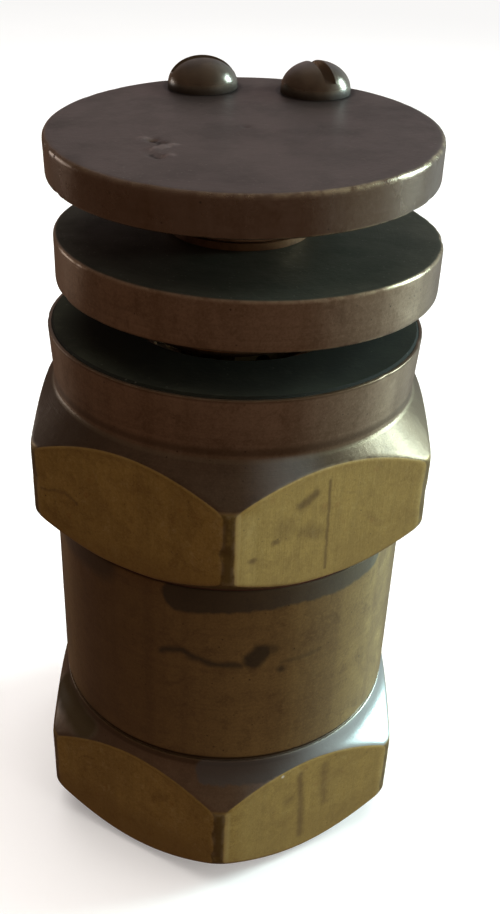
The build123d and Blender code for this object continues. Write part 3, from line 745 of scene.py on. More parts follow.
# --- brass ---------------------------------------------------------------------------------
OLIVE = (0.42, 0.29, 0.075)
OLIVE_BROWN = (0.25, 0.155, 0.038)
OLIVE_PALE = (0.55, 0.43, 0.17)
RUST = (0.30, 0.15, 0.035)
RED_BROWN = (0.285, 0.20, 0.130)
CAP_GREY = (0.125, 0.098, 0.088)
CAP_RIM = (0.185, 0.135, 0.098)
# Near-black green top of the disc: painted shade under the cap, on brass.
DISC_GREEN = (0.074, 0.072, 0.052)
# Hub brown, lightened as painted light against the shade under the cap.
HUB_BROWN = (0.38, 0.21, 0.115)
BARREL_BROWN = (0.31, 0.215, 0.08)
# Dark tarnish; also the colour of painted shade on the barrel's left, the lips, the groove and the collar's
# foot.
TARNISH_AND_SHADE = (0.13, 0.075, 0.035)
CONE_BROWN = (0.17, 0.118, 0.072)
# Pale bluish grey of the painted highlight on the window side of the cones.
CONE_HIGHLIGHT_GREY = (0.46, 0.49, 0.48)
# Dark stain colour of the barrel's ink; also the colour of the painted shadow band on the barrel.
STAIN_AND_SHADOW = (0.055, 0.053, 0.042)
# Painted dark bluish reflection on the inlet cone.
REFLECTION_BLUE = (0.125, 0.130, 0.125)
# Dark of pits; also painted shade at the foot of the screw heads.
PIT_AND_SHADE = (0.02, 0.014, 0.009)
# Pale bare metal of worn edges; also painted highlight along the edges on the window side.
BARE_EDGE_AND_HIGHLIGHT = (0.55, 0.46, 0.29)
SCREW_BROWN = (0.145, 0.115, 0.080)
FLECK_COLOUR = (0.80, 0.74, 0.60)

# Stains, streaks and pale lines, and bands of painted shadow, painted reflection and painted shade, drawn
# as strokes.
# Each is: points as (degrees right of the front, height), then the stroke's radius, softness and strength.
BARREL_INK = (
    (((-19.8, 28.1), (-16.9, 28.5), (-13, 28.7), (-9, 28.0), (-4.3, 27.5), (4.5, 27.4)), 0.36, 0.34, 0.9),
    (((8.6, 27.9), (11.2, 28.7)), 1.0, 0.4, 1.0),
    (((11.5, 29.2), (14.8, 28.9)), 0.55, 0.4, 0.55),
    (((17.8, 26.4),), 0.4, 0.3, 0.75),
    (((18, 27.2), (30, 27.6)), 0.25, 0.25, 0.4),
)
# Painted shadow of the upper hexagon on the top of the barrel.
BARREL_SHADOW_BAND = (
    (((-13.5, 35.0), (-6, 35.1), (7, 35.5), (21, 35.7), (37, 35.6), (50, 36.0)), 1.8, 0.22, 1.0),
)
# Painted shade patches at the left of the barrel, part of the same painted shadow.
BARREL_SHADOW_PATCHES = (
    (((-62, 35.5), (-42, 35.6)), 1.9, 0.8, 0.75),
    (((-75, 34), (-70, 20)), 1.5, 1.5, 0.35),
)
# Painted dark reflection across the inlet cone, under the barrel.
CONE_REFLECTION_BAND = (
    (((-4.2, 14.0), (12, 14.1), (30, 14.2), (48, 13.7)), 1.15, 0.16, 1.0),
)
CONE_PATCH = (
    (((-72, 13.6), (-50, 13.4)), 1.15, 0.5, 0.85),
)
INLET_STREAKS = (
    (((26.6, 12), (28.6, 3.0)), 0.35, 0.4, 0.6),
    (((35.8, 11.8), (37.2, 6.5)), 0.4, 0.55, 0.5),
    (((23.3, 8.9),), 0.7, 0.7, 0.4),
)
INLET_FLECK = (
    (((19.9, 12.8),), 0.16, 0.08, 1.0),
)
INLET_PALE_LINE = (
    (((2.4, 10.6), (2.4, 3.6)), 0.24, 0.16, 1.0),
)
BONNET_STAINS = (
    (((19.4, 45.1), (23.2, 46.0)), 0.42, 0.36, 0.85),
    (((20.5, 42.4), (25.2, 42.0)), 0.6, 0.6, 0.5),
    (((14.7, 43.2),), 0.9, 0.8, 0.4),
    (((12.0, 42.2),), 0.35, 0.3, 0.8),
    (((6.3, 41.0),), 0.32, 0.3, 0.8),
    (((-57, 42.0), (-50, 42.6), (-46, 41.6)), 0.14, 0.2, 0.7),
)
BONNET_STREAK = (
    (((27.9, 46.9), (28.6, 37.8)), 0.13, 0.16, 0.8),
)
BONNET_PALE_LINE = (
    (((2.2, 45.8), (2.2, 38.5)), 0.24, 0.16, 1.0),
)
BONNET_PALE_SIDE = (
    (((4.2, 45.0), (4.2, 38.5)), 0.8, 0.5, 0.45),
)


def flat_tone(s):
    """Sawn and drawn hexagon flats: olive, with streaks along the axis, mottling and pits."""
    streaks = s.noise(0.55, 4, 0.62, vector=s.stretched(2.6, 2.6, 0.10))
    clouds = s.noise(0.13, 5, 0.62, distortion=0.6)
    mottle = s.noise(0.6, 5, 0.70, distortion=0.4)
    fine = s.noise(2.6, 4, 0.7)
    tone = s.mix(s.ramp(streaks, 0.40, 0.72), OLIVE, darker(OLIVE, 0.84))
    smudges = s.noise(0.32, 5, 0.72, distortion=0.8)
    tone = s.lay(tone, OLIVE_BROWN, s.ramp(clouds, 0.46, 0.66), 0.45)
    tone = s.lay(tone, OLIVE_BROWN, s.ramp(smudges, 0.53, 0.66), 0.60)
    tone = s.lay(tone, OLIVE_PALE, s.ramp(smudges, 0.30, 0.44, invert=True), 0.40)
    tone = s.lay(tone, OLIVE_BROWN, s.ramp(mottle, 0.50, 0.66), 0.50)
    tone = s.lay(tone, OLIVE_PALE, s.ramp(mottle, 0.30, 0.42, invert=True), 0.35)
    tone = s.lay(tone, darker(OLIVE_BROWN, 0.8), s.ramp(fine, 0.46, 0.70), 0.34)
    tone = s.lay(tone, RUST, s.specks(0.75, 0.30, 0.3), 0.45)
    grain = s.noise(4.6, 3, 0.75)
    tone = s.lay(tone, darker(OLIVE_BROWN, 0.7), s.ramp(grain, 0.48, 0.66), 0.20)
    tone = s.lay(tone, darker(OLIVE_PALE, 1.05), s.ramp(grain, 0.34, 0.50, invert=True), 0.20)
    tone = s.lay(tone, PIT_AND_SHADE, s.specks(1.3, 0.15, 0.3), 0.6)
    return s.lay(tone, TARNISH_AND_SHADE, s.specks(2.3, 0.20, 0.4), 0.55)


def wall_tone(s, base, dark):
    """Turned walls: lathe bands, drifting tarnish and a few pits."""
    bands = s.noise(1.0, 3, 0.6, vector=s.scaled(s.lathe, 1.6))
    drift = s.noise(0.16, 5, 0.62, vector=s.stretched(1.0, 1.0, 1.9))
    fine = s.noise(1.9, 4, 0.65)
    sectors = s.noise(0.16, 3, 0.6, vector=s.join(s.around, 0.0, 0.0))
    grime = s.noise(0.5, 5, 0.7, distortion=0.5)
    tone = s.mix(s.product(s.ramp(drift, 0.40, 0.75), 0.35), base, dark)
    tone = s.lay(tone, dark, s.ramp(sectors, 0.42, 0.60), 0.40)
    tone = s.lay(tone, darker(base, 1.35), s.ramp(sectors, 0.30, 0.42, invert=True), 0.35)
    tone = s.lay(tone, darker(dark, 0.8), s.ramp(grime, 0.50, 0.70), 0.40)
    tone = s.lay(tone, darker(dark, 0.9), s.ramp(bands, 0.42, 0.70), 0.20)
    tone = s.lay(tone, darker(base, 1.25), s.ramp(fine, 0.50, 0.75), 0.22)
    grain = s.noise(4.2, 3, 0.75)
    tone = s.lay(tone, darker(dark, 0.9), s.ramp(grain, 0.48, 0.68), 0.26)
    tone = s.lay(tone, darker(base, 1.35), s.ramp(grain, 0.32, 0.50, invert=True), 0.26)
    return s.lay(tone, PIT_AND_SHADE, s.specks(1.5, 0.17, 0.35), 0.7)


def worn_edge(s, edge, strength):
    """Bare metal in broken lines along the edges."""
    broken = s.ramp(s.noise(0.9, 4, 0.6), 0.38, 0.62)
    return s.product(s.ramp(edge, 0.5, 1.0), broken, strength)


def metal_grain(s, flat, lathe_strength):
    """Lathe lines on the walls, drawn lines on the flats, and a fine orange peel on both."""
    lathe_lines = s.noise(1.0, 3, 0.6, vector=s.scaled(s.lathe, 6.5))
    drawn_lines = s.noise(1.0, 3, 0.65, vector=s.stretched(3.4, 3.4, 0.12))
    lines = s.blend(flat, lathe_lines, drawn_lines)
    normal = s.bump(lines, lathe_strength, 0.06)
    return s.bump(s.noise(1.1, 5, 0.65), 0.30, 0.10, normal)


def cone_tone(s, brightness, painted_highlight):
    """Cones above the hexagons: dull brown in front, darker at the left as painted shade, with a pale
    painted highlight where the mask says.
    """
    base = darker(CONE_BROWN, brightness)
    tone = wall_tone(s, base, darker(base, 0.6))
    # Painted shade on the left of the cone.
    tone = s.lay(tone, darker(base, 0.35), s.ramp(s.degrees, -50, -15, invert=True), 0.6)
    return s.lay(tone, CONE_HIGHLIGHT_GREY, painted_highlight)


def hexagon_borders(s, flat, hexagon, cone_foot_z, cone_slope):
    """Dark corner strips, and how near a point of a flat is to the arc under the cone."""
    corner = s.product(hexagon, s.math("SUBTRACT", 1.0, flat))
    fall = s.product(s.math("SUBTRACT", HEX_CORNER_RADIUS, s.radius), cone_slope)
    below_arc = s.math("SUBTRACT", s.math("ADD", fall, cone_foot_z), s.z)
    border = s.product(flat, s.ramp(below_arc, 0.1, 0.75, invert=True))
    return corner, border


def hexagon_tone(s, flat, hexagon, cone_foot_z, cone_slope, low_z):
    """Flats, paler on the right as painted light: brown tarnish under the arcs, more of it on the left as
    painted shade, painted shade low down and most on the left, a painted shadow beside the front corner,
    dark corner strips.
    """
    corner, border = hexagon_borders(s, flat, hexagon, cone_foot_z, cone_slope)
    left = s.ramp(s.degrees, -12, -2, invert=True)
    # Painted shade low on the flats, stronger on the left.
    low = s.ramp(s.math("ADD", s.z, s.noise(0.3, 4)), low_z, low_z + 3.6, invert=True)
    tone = s.mix(s.product(low, s.blend(left, 0.25, 0.6)), flat_tone(s), OLIVE_BROWN)
    # Brown tarnish under the arcs, stronger on the left as painted shade.
    tone = s.lay(tone, OLIVE_BROWN, border, s.blend(left, 0.25, 0.65))
    # Painted light: the flats paler on the window side.
    tone = s.lay(tone, OLIVE_PALE, s.ramp(s.degrees, 2, 10), 0.22)
    # Painted shadow beside the front corner.
    corner_shadow = s.stroke(s.wavering(0.15, 0.8), ((0.9, low_z), (0.9, cone_foot_z - 0.4)), 0.2, 0.12)
    tone = s.lay(tone, darker(OLIVE_BROWN, 0.5), corner_shadow, 0.7)
    broken = s.ramp(s.noise(0.8, 4, 0.6), 0.30, 0.50)
    return s.lay(tone, darker(OLIVE_BROWN, 0.42), corner, s.blend(broken, 0.55, 0.9))


def hexagon_masks(s, hex_top, cone_top):
    """Masks of the sawn flats, the hexagon's height range, all of the hexagon, and the cone above it."""
    flat = s.hexagon_flat()
    hexagon = s.ramp(s.z, hex_top - 0.1, hex_top + 0.3, invert=True)
    above_hexagon = s.between(s.z, hex_top + 0.1, cone_top, 0.2)
    cone = s.product(above_hexagon, s.math("SUBTRACT", 1.0, flat))
    return flat, hexagon, s.math("MAXIMUM", flat, hexagon), cone


def hexagon_wear_and_highlight(s, hexagon):
    """Bare metal along the edges, with painted highlight: most of it on the window side of the arcs."""
    arcs = s.blend(s.ramp(s.degrees, -5, 20), 0.15, 0.70)
    return s.product(worn_edge(s, s.attribute("edge"), 0.40), s.blend(hexagon, arcs, 0.45))


def clouded(s, rough):
    """Roughness with dull clouds."""
    return s.math("ADD", rough, s.product(s.ramp(s.noise(0.4, 4), 0.4, 0.7), 0.08))


def body_material():
    """Inlet hexagon, its cone and the barrel, with the barrel's pen-like squiggle and stains, and painted
    shadow, reflection, highlight and shade.
    """
    s = Surface("body_brass")
    flat, hexagon, sawn, cone = hexagon_masks(s, INLET_HEX_TOP, INLET_CONE_TOP)
    barrel = s.ramp(s.z, INLET_CONE_TOP + 0.1, INLET_CONE_TOP + 0.5)
    cone_slope = (INLET_FLARE_Z - INLET_HEX_TOP) / (HEX_CORNER_RADIUS - INLET_FLARE_RADIUS)
    tone = wall_tone(s, BARREL_BROWN, TARNISH_AND_SHADE)
    # Inlet cone, with its painted highlight from 2 to 34 degrees right of the front.
    tone = s.lay(tone, cone_tone(s, 1.25, s.ramp(s.degrees, 2, 34)), cone)
    tone = s.lay(tone, hexagon_tone(s, flat, hexagon, INLET_HEX_TOP, cone_slope, 4.0), sawn)
    left_shade = s.product(s.ramp(s.degrees, -44, 12, invert=True), s.ramp(s.degrees, -80, -50), 0.62)
    tone = s.lay(tone, darker(TARNISH_AND_SHADE, 0.8), left_shade, barrel)
    # Painted shade on the lip at the top of the inlet cone, on the front and left.
    shaded_lip = s.product(s.between(s.z, INLET_CONE_TOP - 0.5, INLET_CONE_TOP + 0.05, 0.15), 0.7)
    tone = s.lay(tone, darker(TARNISH_AND_SHADE, 0.5), shaded_lip, s.ramp(s.degrees, 0, 35, invert=True))
    # Painted shade in the groove at the foot of the barrel.
    groove_shade = s.between(s.z, INLET_CONE_TOP + 0.02, INLET_CONE_TOP + 0.35, 0.1)
    tone = s.lay(tone, darker(TARNISH_AND_SHADE, 0.3), groove_shade, 0.9)

    uneven = s.wavering(0.7, 0.9)
    ragged = s.wavering(0.9, 0.5)
    # Painted shadow of the upper hexagon on the barrel, lighter towards the right.
    shadow_band = s.math("MAXIMUM", s.marks(uneven, BARREL_SHADOW_BAND), s.marks(ragged, BARREL_SHADOW_PATCHES))
    shadow_band_colour = s.mix(s.ramp(s.degrees, -10, 25), darker(STAIN_AND_SHADOW, 0.75), darker(STAIN_AND_SHADOW, 1.6))
    fading = s.ramp(s.degrees, 12, 48, invert=True)
    dull_patch = s.product(s.marks(ragged, CONE_PATCH), cone)
    pale_line = s.marks(s.wavering(0.2, 0.8), INLET_PALE_LINE)
    tone = s.lay(tone, shadow_band_colour, shadow_band, barrel, 0.80)
    # Painted dark reflection on the inlet cone, fading towards the right.
    tone = s.lay(tone, REFLECTION_BLUE, s.marks(uneven, CONE_REFLECTION_BAND), fading, cone, 0.80)
    tone = s.lay(tone, darker(OLIVE_BROWN, 0.14), dull_patch)
    tone = s.lay(tone, TARNISH_AND_SHADE, s.marks(ragged, INLET_STREAKS), flat)
    tone = s.lay(tone, OLIVE_PALE, pale_line, flat, 0.45)
    tone = s.lay(tone, FLECK_COLOUR, s.marks(s.unrolled, INLET_FLECK), flat)
    tone = s.lay(tone, darker(STAIN_AND_SHADOW, 0.6), s.marks(uneven, BARREL_INK), barrel, 0.82)

    tone = s.lay(tone, BARE_EDGE_AND_HIGHLIGHT, hexagon_wear_and_highlight(s, hexagon))
    metallic = s.blend(cone, s.blend(sawn, 0.66, 0.50), s.blend(dull_patch, 0.85, 0.10))
    rough = s.blend(cone, s.blend(sawn, 0.36, 0.50), s.blend(dull_patch, 0.34, 0.80))
    rough = clouded(s, rough)
    normal = metal_grain(s, sawn, 0.10)
    s.brushed_round(s.product(barrel, 0.8))
    coat = s.blend(cone, 0.20, s.blend(dull_patch, 0.42, 0.0))
    s.put(s.shader.inputs["Specular IOR Level"], s.blend(dull_patch, 0.5, 0.1))
    return s.finish(tone, metallic, rough, normal, coat, coat_roughness=0.22)


def bonnet_material():
    """Upper hexagon, cone and collar, with the stains on the right-hand flat."""
    s = Surface("bonnet_brass")
    flat, hexagon, sawn, cone = hexagon_masks(s, BONNET_HEX_TOP, COLLAR_FOOT)
    collar = s.ramp(s.z, COLLAR_FOOT - 0.1, COLLAR_FOOT + 0.2)
    cone_slope = (COLLAR_FOOT - BONNET_HEX_TOP) / (HEX_CORNER_RADIUS - COLLAR_FOOT_RADIUS)
    tone = wall_tone(s, RED_BROWN, TARNISH_AND_SHADE)
    # Painted shade along the top edge of the collar, under the disc.
    shaded_lip = s.ramp(s.z, COLLAR_TOP - 0.35, COLLAR_TOP - 0.1)
    tone = s.lay(tone, darker(TARNISH_AND_SHADE, 0.7), shaded_lip, 0.6)
    foot_line = s.product(s.between(s.z, COLLAR_FOOT - 0.30, COLLAR_FOOT - 0.02, 0.1), 0.14)
    foot_shade = s.product(s.between(s.z, COLLAR_FOOT + 0.1, COLLAR_FOOT + 0.9, 0.35), 0.6)
    tone = s.lay(tone, darker(TARNISH_AND_SHADE, 0.55), foot_shade)
    # Painted highlight on the upper cone, right of the front.
    painted_highlight = s.product(s.between(s.degrees, 8, 22, 7), 0.36)
    cone_colour = s.mix(s.ramp(s.degrees, 24, 44), cone_tone(s, 0.75, painted_highlight), darker(CONE_BROWN, 0.72))
    tone = s.lay(tone, cone_colour, cone)
    tone = s.lay(tone, hexagon_tone(s, flat, hexagon, BONNET_HEX_TOP, cone_slope, 37.6), sawn)
    tone = s.lay(tone, darker(BARE_EDGE_AND_HIGHLIGHT, 0.7), foot_line)

    uneven = s.wavering(0.8, 0.8)
    stains = s.math("MAXIMUM", s.marks(uneven, BONNET_STAINS), s.marks(s.wavering(0.3, 0.8), BONNET_STREAK))
    pale_line = s.marks(s.wavering(0.2, 0.8), BONNET_PALE_LINE)
    pale = s.math("MAXIMUM", pale_line, s.marks(uneven, BONNET_PALE_SIDE))
    tone = s.lay(tone, OLIVE_PALE, pale, flat, 0.6)
    tone = s.lay(tone, darker(TARNISH_AND_SHADE, 0.8), stains, flat, 0.8)

    tone = s.lay(tone, BARE_EDGE_AND_HIGHLIGHT, hexagon_wear_and_highlight(s, hexagon), s.blend(shaded_lip, 1.0, 0.35))
    metallic = s.blend(cone, s.blend(sawn, 0.78, 0.50), 0.85)
    rough = s.blend(cone, s.blend(sawn, 0.34, 0.50), 0.34)
    rough = clouded(s, rough)
    normal = metal_grain(s, sawn, 0.20)
    s.brushed_round(s.product(collar, 0.8))
    return s.finish(tone, metallic, rough, normal, coat=s.blend(cone, 0.20, 0.16), coat_roughness=0.22)


def scratches(s, turn):
    """Thin broken scratches running at one angle across a face."""
    across = (math.cos(turn), math.sin(turn), 0)
    along = (-math.sin(turn), math.cos(turn), 0)
    u = s.vector_math("DOT_PRODUCT", s.place, across, "Value")
    v = s.vector_math("DOT_PRODUCT", s.place, along, "Value")
    lines = s.noise(1.0, 2, 0.5, vector=s.join(s.product(u, 2.4), s.product(v, 0.10), 0.0), distortion=0.25)
    return s.product(s.between(lines, 0.548, 0.556, 0.006), s.ramp(s.noise(0.11, 2), 0.48, 0.6))


def screw_places():
    """Centres of the lock screws' heads, from the frame."""
    low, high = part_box("lock_screws")
    left = Vector(low) / MM
    right = Vector(high) / MM
    middle_y = (left.y + right.y) / 2
    half_y = (right.y - left.y) / 2 - SCREW_HEAD_RADIUS
    return (
        Vector((left.x + SCREW_HEAD_RADIUS, middle_y + half_y, 0)),
        Vector((right.x - SCREW_HEAD_RADIUS, middle_y - half_y, 0)),
    )


def screw_shade(s):
    """Painted shade on the cap close round the screw heads, and painted reflections of the heads as dark
    patches in front of them.
    """
    flat_place = s.flattened(s.place)
    head = SCREW_HEAD_RADIUS
    masks = []
    for centre in screw_places():
        offset = centre - Vector((CAP_OFFSET_X, 0, 0))
        distance = s.vector_math("DISTANCE", flat_place, offset, "Value")
        front = s.vector_math("DISTANCE", flat_place, offset + Vector((0, -2.6, 0)), "Value")
        masks.append(s.ramp(distance, head + 0.2, head + 0.8, invert=True))
        masks.append(s.product(s.ramp(distance, head, 1.8 * head, invert=True), 0.35))
        masks.append(s.product(s.ramp(front, head - 0.9, head + 0.7, invert=True), 0.42))
    return s.product(s.highest(*masks), 0.85)


def bruise(s):
    """The cap's bruise: pale scuffed ridges and dark pits, about the cap's own centre."""
    flat_place = s.flattened(s.shaken(s.place, 1.1, 1.9, 4))
    masks = []
    for lines in (BRUISE_RIDGES, BRUISE_PITS):
        strokes = []
        for line in lines:
            points = [(across / s.MM_PER_DEGREE, along) for across, along in line]
            strokes.append(s.stroke(flat_place, points, 0.24, 0.2))
        masks.append(s.highest(*strokes))
    return masks


def plate_material(name, top_colour, top_rough, rim_colour, rim_rough, axis_x, bruised=False):
    """Round plates: dull dark faces, brown turned rims, thin worn edges with painted highlight on the
    window side.
    """
    s = Surface(name, axis_x)
    edge = s.attribute("edge")
    face = s.product(s.facing_up(), s.ramp(edge, 0.5, 0.95, invert=True))
    clouds = s.noise(0.22, 5, 0.6)
    smudges = s.noise(0.07, 3, 0.5)
    rings = s.noise(1.0, 3, 0.6, vector=s.scaled(s.lathe, 1.3))
    top = s.mix(s.ramp(clouds, 0.38, 0.70), top_colour, darker(top_colour, 0.72))
    top = s.lay(top, darker(top_colour, 1.3), s.ramp(smudges, 0.45, 0.65), 0.4)
    top = s.lay(top, darker(top_colour, 0.6), s.ramp(rings, 0.5, 0.75), 0.25)
    top = s.lay(top, (0.34, 0.32, 0.27), s.specks(2.1, 0.20, 0.5), 0.35)
    scratch = s.math("MAXIMUM", scratches(s, 0.5), scratches(s, 2.2))
    top = s.lay(top, darker(top_colour, 2.4), scratch, 0.35)
    if bruised:
        ridges, pits = bruise(s)
        top = s.lay(top, darker(top_colour, 2.2), ridges, 0.50)
        top = s.lay(top, darker(top_colour, 0.30), pits, 0.80)
        # Painted shade and painted reflections of the screw heads.
        top = s.lay(top, darker(top_colour, 0.12), screw_shade(s))
    rim = wall_tone(s, rim_colour, TARNISH_AND_SHADE)
    tone = s.mix(face, rim, top)
    # Worn edges, strongest on the window side as painted highlight.
    wear_and_highlight = s.product(worn_edge(s, edge, 0.70), s.blend(s.ramp(s.degrees, -20, 35), 0.15, 1.0))
    tone = s.lay(tone, BARE_EDGE_AND_HIGHLIGHT, wear_and_highlight)
    rough = s.math("ADD", s.blend(face, rim_rough, top_rough), s.product(s.ramp(clouds, 0.4, 0.7), 0.07))
    normal = metal_grain(s, 0.0, 0.26)
    s.brushed_round(s.product(s.math("SUBTRACT", 1.0, face), 0.85))
    coat = s.blend(face, 0.30, 0.0)
    return s.finish(tone, 0.80, rough, normal, coat, coat_roughness=0.18)


# --- other materials -----------------------------------------------------------------------
BACKDROP = (0.93, 0.92, 0.91)


def tarnished(s, colour, dark, darkest):
    """Tarnish clouds, fine marks and pits; also gives the noises of the clouds and the fine marks."""
    cloud = s.noise(0.35, 5, 0.65)
    fine = s.noise(1.6, 4, 0.65)
    tone = s.mix(s.ramp(cloud, 0.35, 0.7), colour, dark)
    tone = s.lay(tone, darkest, s.ramp(fine, 0.48, 0.75), 0.35)
    return s.lay(tone, PIT_AND_SHADE, s.specks(1.8, 0.2, 0.5), 0.6), cloud, fine


def plain_metal(name, colour, dark, metallic, roughness):
    """Small turned or sheet metal pieces."""
    s = Surface(name)
    tone, cloud, fine = tarnished(s, colour, dark, darker(dark, 0.5))
    rough = s.math("ADD", s.product(cloud, 0.24), roughness - 0.12)
    lines = s.noise(1.0, 2, 0.5, vector=s.scaled(s.lathe, 6.0))
    normal = s.bump(lines, 0.2, 0.05)
    normal = s.bump(fine, 0.3, 0.06, normal)
    return s.finish(tone, metallic, rough, normal)


def screw_material():
    """Lock screws: dull domes, bare metal and painted light in the slots, painted shade at the foot of the
    heads.
    """
    s = Surface("screw_metal")
    slopes = s.vector_math("DOT_PRODUCT", s.place, (-CAP_SLOPE_X, -CAP_SLOPE_Y, 1.0), "Value")
    height = s.math("SUBTRACT", slopes, CAP_TOP)
    upper = s.ramp(height, 0.45 * SCREW_HEAD_HEIGHT, 0.5 * SCREW_HEAD_HEIGHT)
    # Slot walls: bare metal, lightened as painted light.
    lit_slot = s.product(upper, s.ramp(s.math("ABSOLUTE", s.normal_z()), 0.15, 0.25, invert=True))
    tone, cloud, fine = tarnished(s, SCREW_BROWN, darker(SCREW_BROWN, 0.5), darker(SCREW_BROWN, 0.3))
    tone = s.lay(tone, darker(RED_BROWN, 1.3), lit_slot, 0.6)
    # Painted shade at the foot of the heads.
    foot = s.ramp(height, 0.15, 0.95, invert=True)
    tone = s.lay(tone, PIT_AND_SHADE, foot, 0.9)
    metallic = s.blend(foot, 0.8, 0.0)
    rough = s.math("ADD", s.product(cloud, 0.2), s.blend(foot, 0.14, 0.7))
    normal = s.bump(fine, 0.3, 0.06)
    return s.finish(tone, metallic, rough, normal, coat=s.blend(foot, 0.8, 0.0), coat_roughness=0.2)


def soft_material(name, colour, dust_colour, roughness, grain):
    """Rubber, fibre and hard rubber: fine grain, dust, fading and dull edges."""
    s = Surface(name)
    cloud = s.noise(0.16, 5, 0.6)
    bevel = s.between(s.math("ABSOLUTE", s.normal_z()), 0.5, 0.85, 0.08)
    tone = s.mix(s.ramp(cloud, 0.35, 0.72), colour, darker(colour, 2.0))
    tone = s.lay(tone, darker(colour, 3.0), s.ramp(s.noise(0.7, 4, 0.7), 0.55, 0.72), 0.5)
    tone = s.lay(tone, darker(colour, 0.4), bevel, 0.7)
    tone = s.lay(tone, dust_colour, s.specks(1.3, 0.14, 0.4), 0.5)
    rough = s.math("ADD", s.product(cloud, 0.2), roughness - 0.1)
    normal = s.bump(s.noise(grain, 4, 0.6), 0.35, 0.06)
    s.shader.inputs["Specular IOR Level"].default_value = 0.25
    return s.finish(tone, 0.0, rough, normal)


def floor_material():
    """Pale matt paper with a faint fibre grain, running into the backdrop far from the vent."""
    s = Surface("floor")
    tone = s.mix(s.ramp(s.noise(0.008, 4), 0.3, 0.7), (0.80, 0.79, 0.78), (0.76, 0.75, 0.74))
    far = s.ramp(s.radius, 150, 650)
    normal = s.bump(s.noise(0.9, 4), 0.1, 0.1)
    s.put(s.shader.inputs["Emission Color"], s.mix(far, tone, BACKDROP))
    s.put(s.shader.inputs["Emission Strength"], s.blend(far, 0.35, 1.0))
    return s.finish(s.mix(far, tone, (0.0, 0.0, 0.0)), 0.0, s.blend(far, 0.8, 1.0), normal)


# --- dress the pieces ----------------------------------------------------------------------
def give(obj, material):
    """One material on an object."""
    obj.data.materials.clear()
    obj.data.materials.append(material)


def soften_edges(obj, width):
    """Narrow worn edge on a CAD piece."""
    bevel = obj.modifiers.new("worn_edge", "BEVEL")
    bevel.width = width * MM
    bevel.segments = 2
    bevel.limit_method = "ANGLE"
    bevel.angle_limit = math.radians(40)
    bevel.use_clamp_overlap = True


def dress_cad_pieces():
    """Materials and worn edges for the pieces that keep their CAD shape."""
    # The thrust washer's dark brown is painted shade: it shows as the dark line under the hub.
    washer_metal = plain_metal("washer_metal", (0.22, 0.115, 0.055), (0.10, 0.05, 0.025), 0.7, 0.42)
    turned_metal = plain_metal("turned_metal", (0.50, 0.37, 0.17), (0.28, 0.18, 0.08), 0.9, 0.36)
    sheet_metal = plain_metal("sheet_metal", (0.54, 0.41, 0.20), (0.32, 0.21, 0.09), 0.9, 0.38)
    steel_pins = plain_metal("steel_pins", (0.50, 0.49, 0.47), (0.25, 0.22, 0.20), 1.0, 0.30)
    black_rubber = soft_material("black_rubber", (0.0105, 0.0110, 0.0066), (0.09, 0.09, 0.07), 0.80, 2.2)
    red_fibre = soft_material("red_fibre", (0.055, 0.022, 0.014), (0.14, 0.11, 0.09), 0.6, 1.8)
    hard_rubber = soft_material("hard_rubber", (0.022, 0.018, 0.015), (0.14, 0.12, 0.10), 0.42, 1.5)
    looks = {
        "joint_gasket": (red_fibre, "fibre", 0.0),
        "seat_facing": (black_rubber, "black_rubber", 0.0),
        "stud": (turned_metal, "turned_brass", 0.1),
        "thrust_washer": (washer_metal, "turned_brass", 0.08),
        "lock_screws": (screw_material(), "screw_brass", 0.12),
        "lever_bracket": (sheet_metal, "sheet_brass", 0.08),
        "pivot_pin": (steel_pins, "pin_steel", 0.08),
        "nozzle": (turned_metal, "turned_brass", 0.12),
        "nozzle_washer": (red_fibre, "fibre", 0.0),
        "needle": (steel_pins, "pin_steel", 0.05),
        "needle_pin": (steel_pins, "pin_steel", 0.08),
        "float_lever": (sheet_metal, "sheet_brass", 0.08),
        "float_lower_shell": (hard_rubber, "hard_rubber", 0.0),
        "float_upper_shell": (hard_rubber, "hard_rubber", 0.0),
        "float_stem": (turned_metal, "turned_brass", 0.08),
        "float_pin": (steel_pins, "pin_steel", 0.08),
        "strainer": (sheet_metal, "sheet_brass", 0.06),
        "strainer_circlip": (steel_pins, "pin_steel", 0.06),
    }
    for node_name, (material, slot_name, worn_width) in looks.items():
        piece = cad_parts[node_name]
        give(piece, material)
        if worn_width > 0:
            soften_edges(piece, worn_width)


def place_visual(obj, body, material, replaced=None):
    """A rebuilt piece: what it stands in for, the body it rides and its material."""
    if replaced is not None:
        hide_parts(replaced)
    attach(obj, body)
    give(obj, material)


def build_pieces():
    """The six rebuilt pieces."""
    cap_brass = plate_material("cap_brass", CAP_GREY, 0.36, CAP_RIM, 0.24, CAP_OFFSET_X, bruised=True)
    # The disc's top colour is painted shade under the cap.
    disc_brass = plate_material("disc_brass", DISC_GREEN, 0.60, RED_BROWN, 0.29, DISC_OFFSET_X)
    # The hub's colour is lightened as painted light against the shade under the cap.
    hub_brass = plain_metal("hub_brass", HUB_BROWN, darker(HUB_BROWN, 0.6), 0.6, 0.42)
    place_visual(build_body(), "vent_body", body_material(), "body")
    place_visual(build_bonnet(), "vent_body", bonnet_material(), "bonnet")
    place_visual(build_disc(), "disc", disc_brass, "closing_disc")
    place_visual(build_cap(), "cap", cap_brass, "cap")
    place_visual(build_hub(), "cap", hub_brass)
    bronze_wire = plain_metal("bronze_wire", (0.42, 0.26, 0.14), (0.20, 0.11, 0.06), 0.9, 0.36)
    spring = build_spring()
    place_visual(spring, "vent_body", bronze_wire, "disc_spring")
    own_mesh(spring)


# --- stage, light and camera, metres --------------------------------------------------------
FLOOR_HALF_WIDTH = 5.0
FLOOR_GAP = 0.00002
AIM_POINT = (0, 0, 0.04)


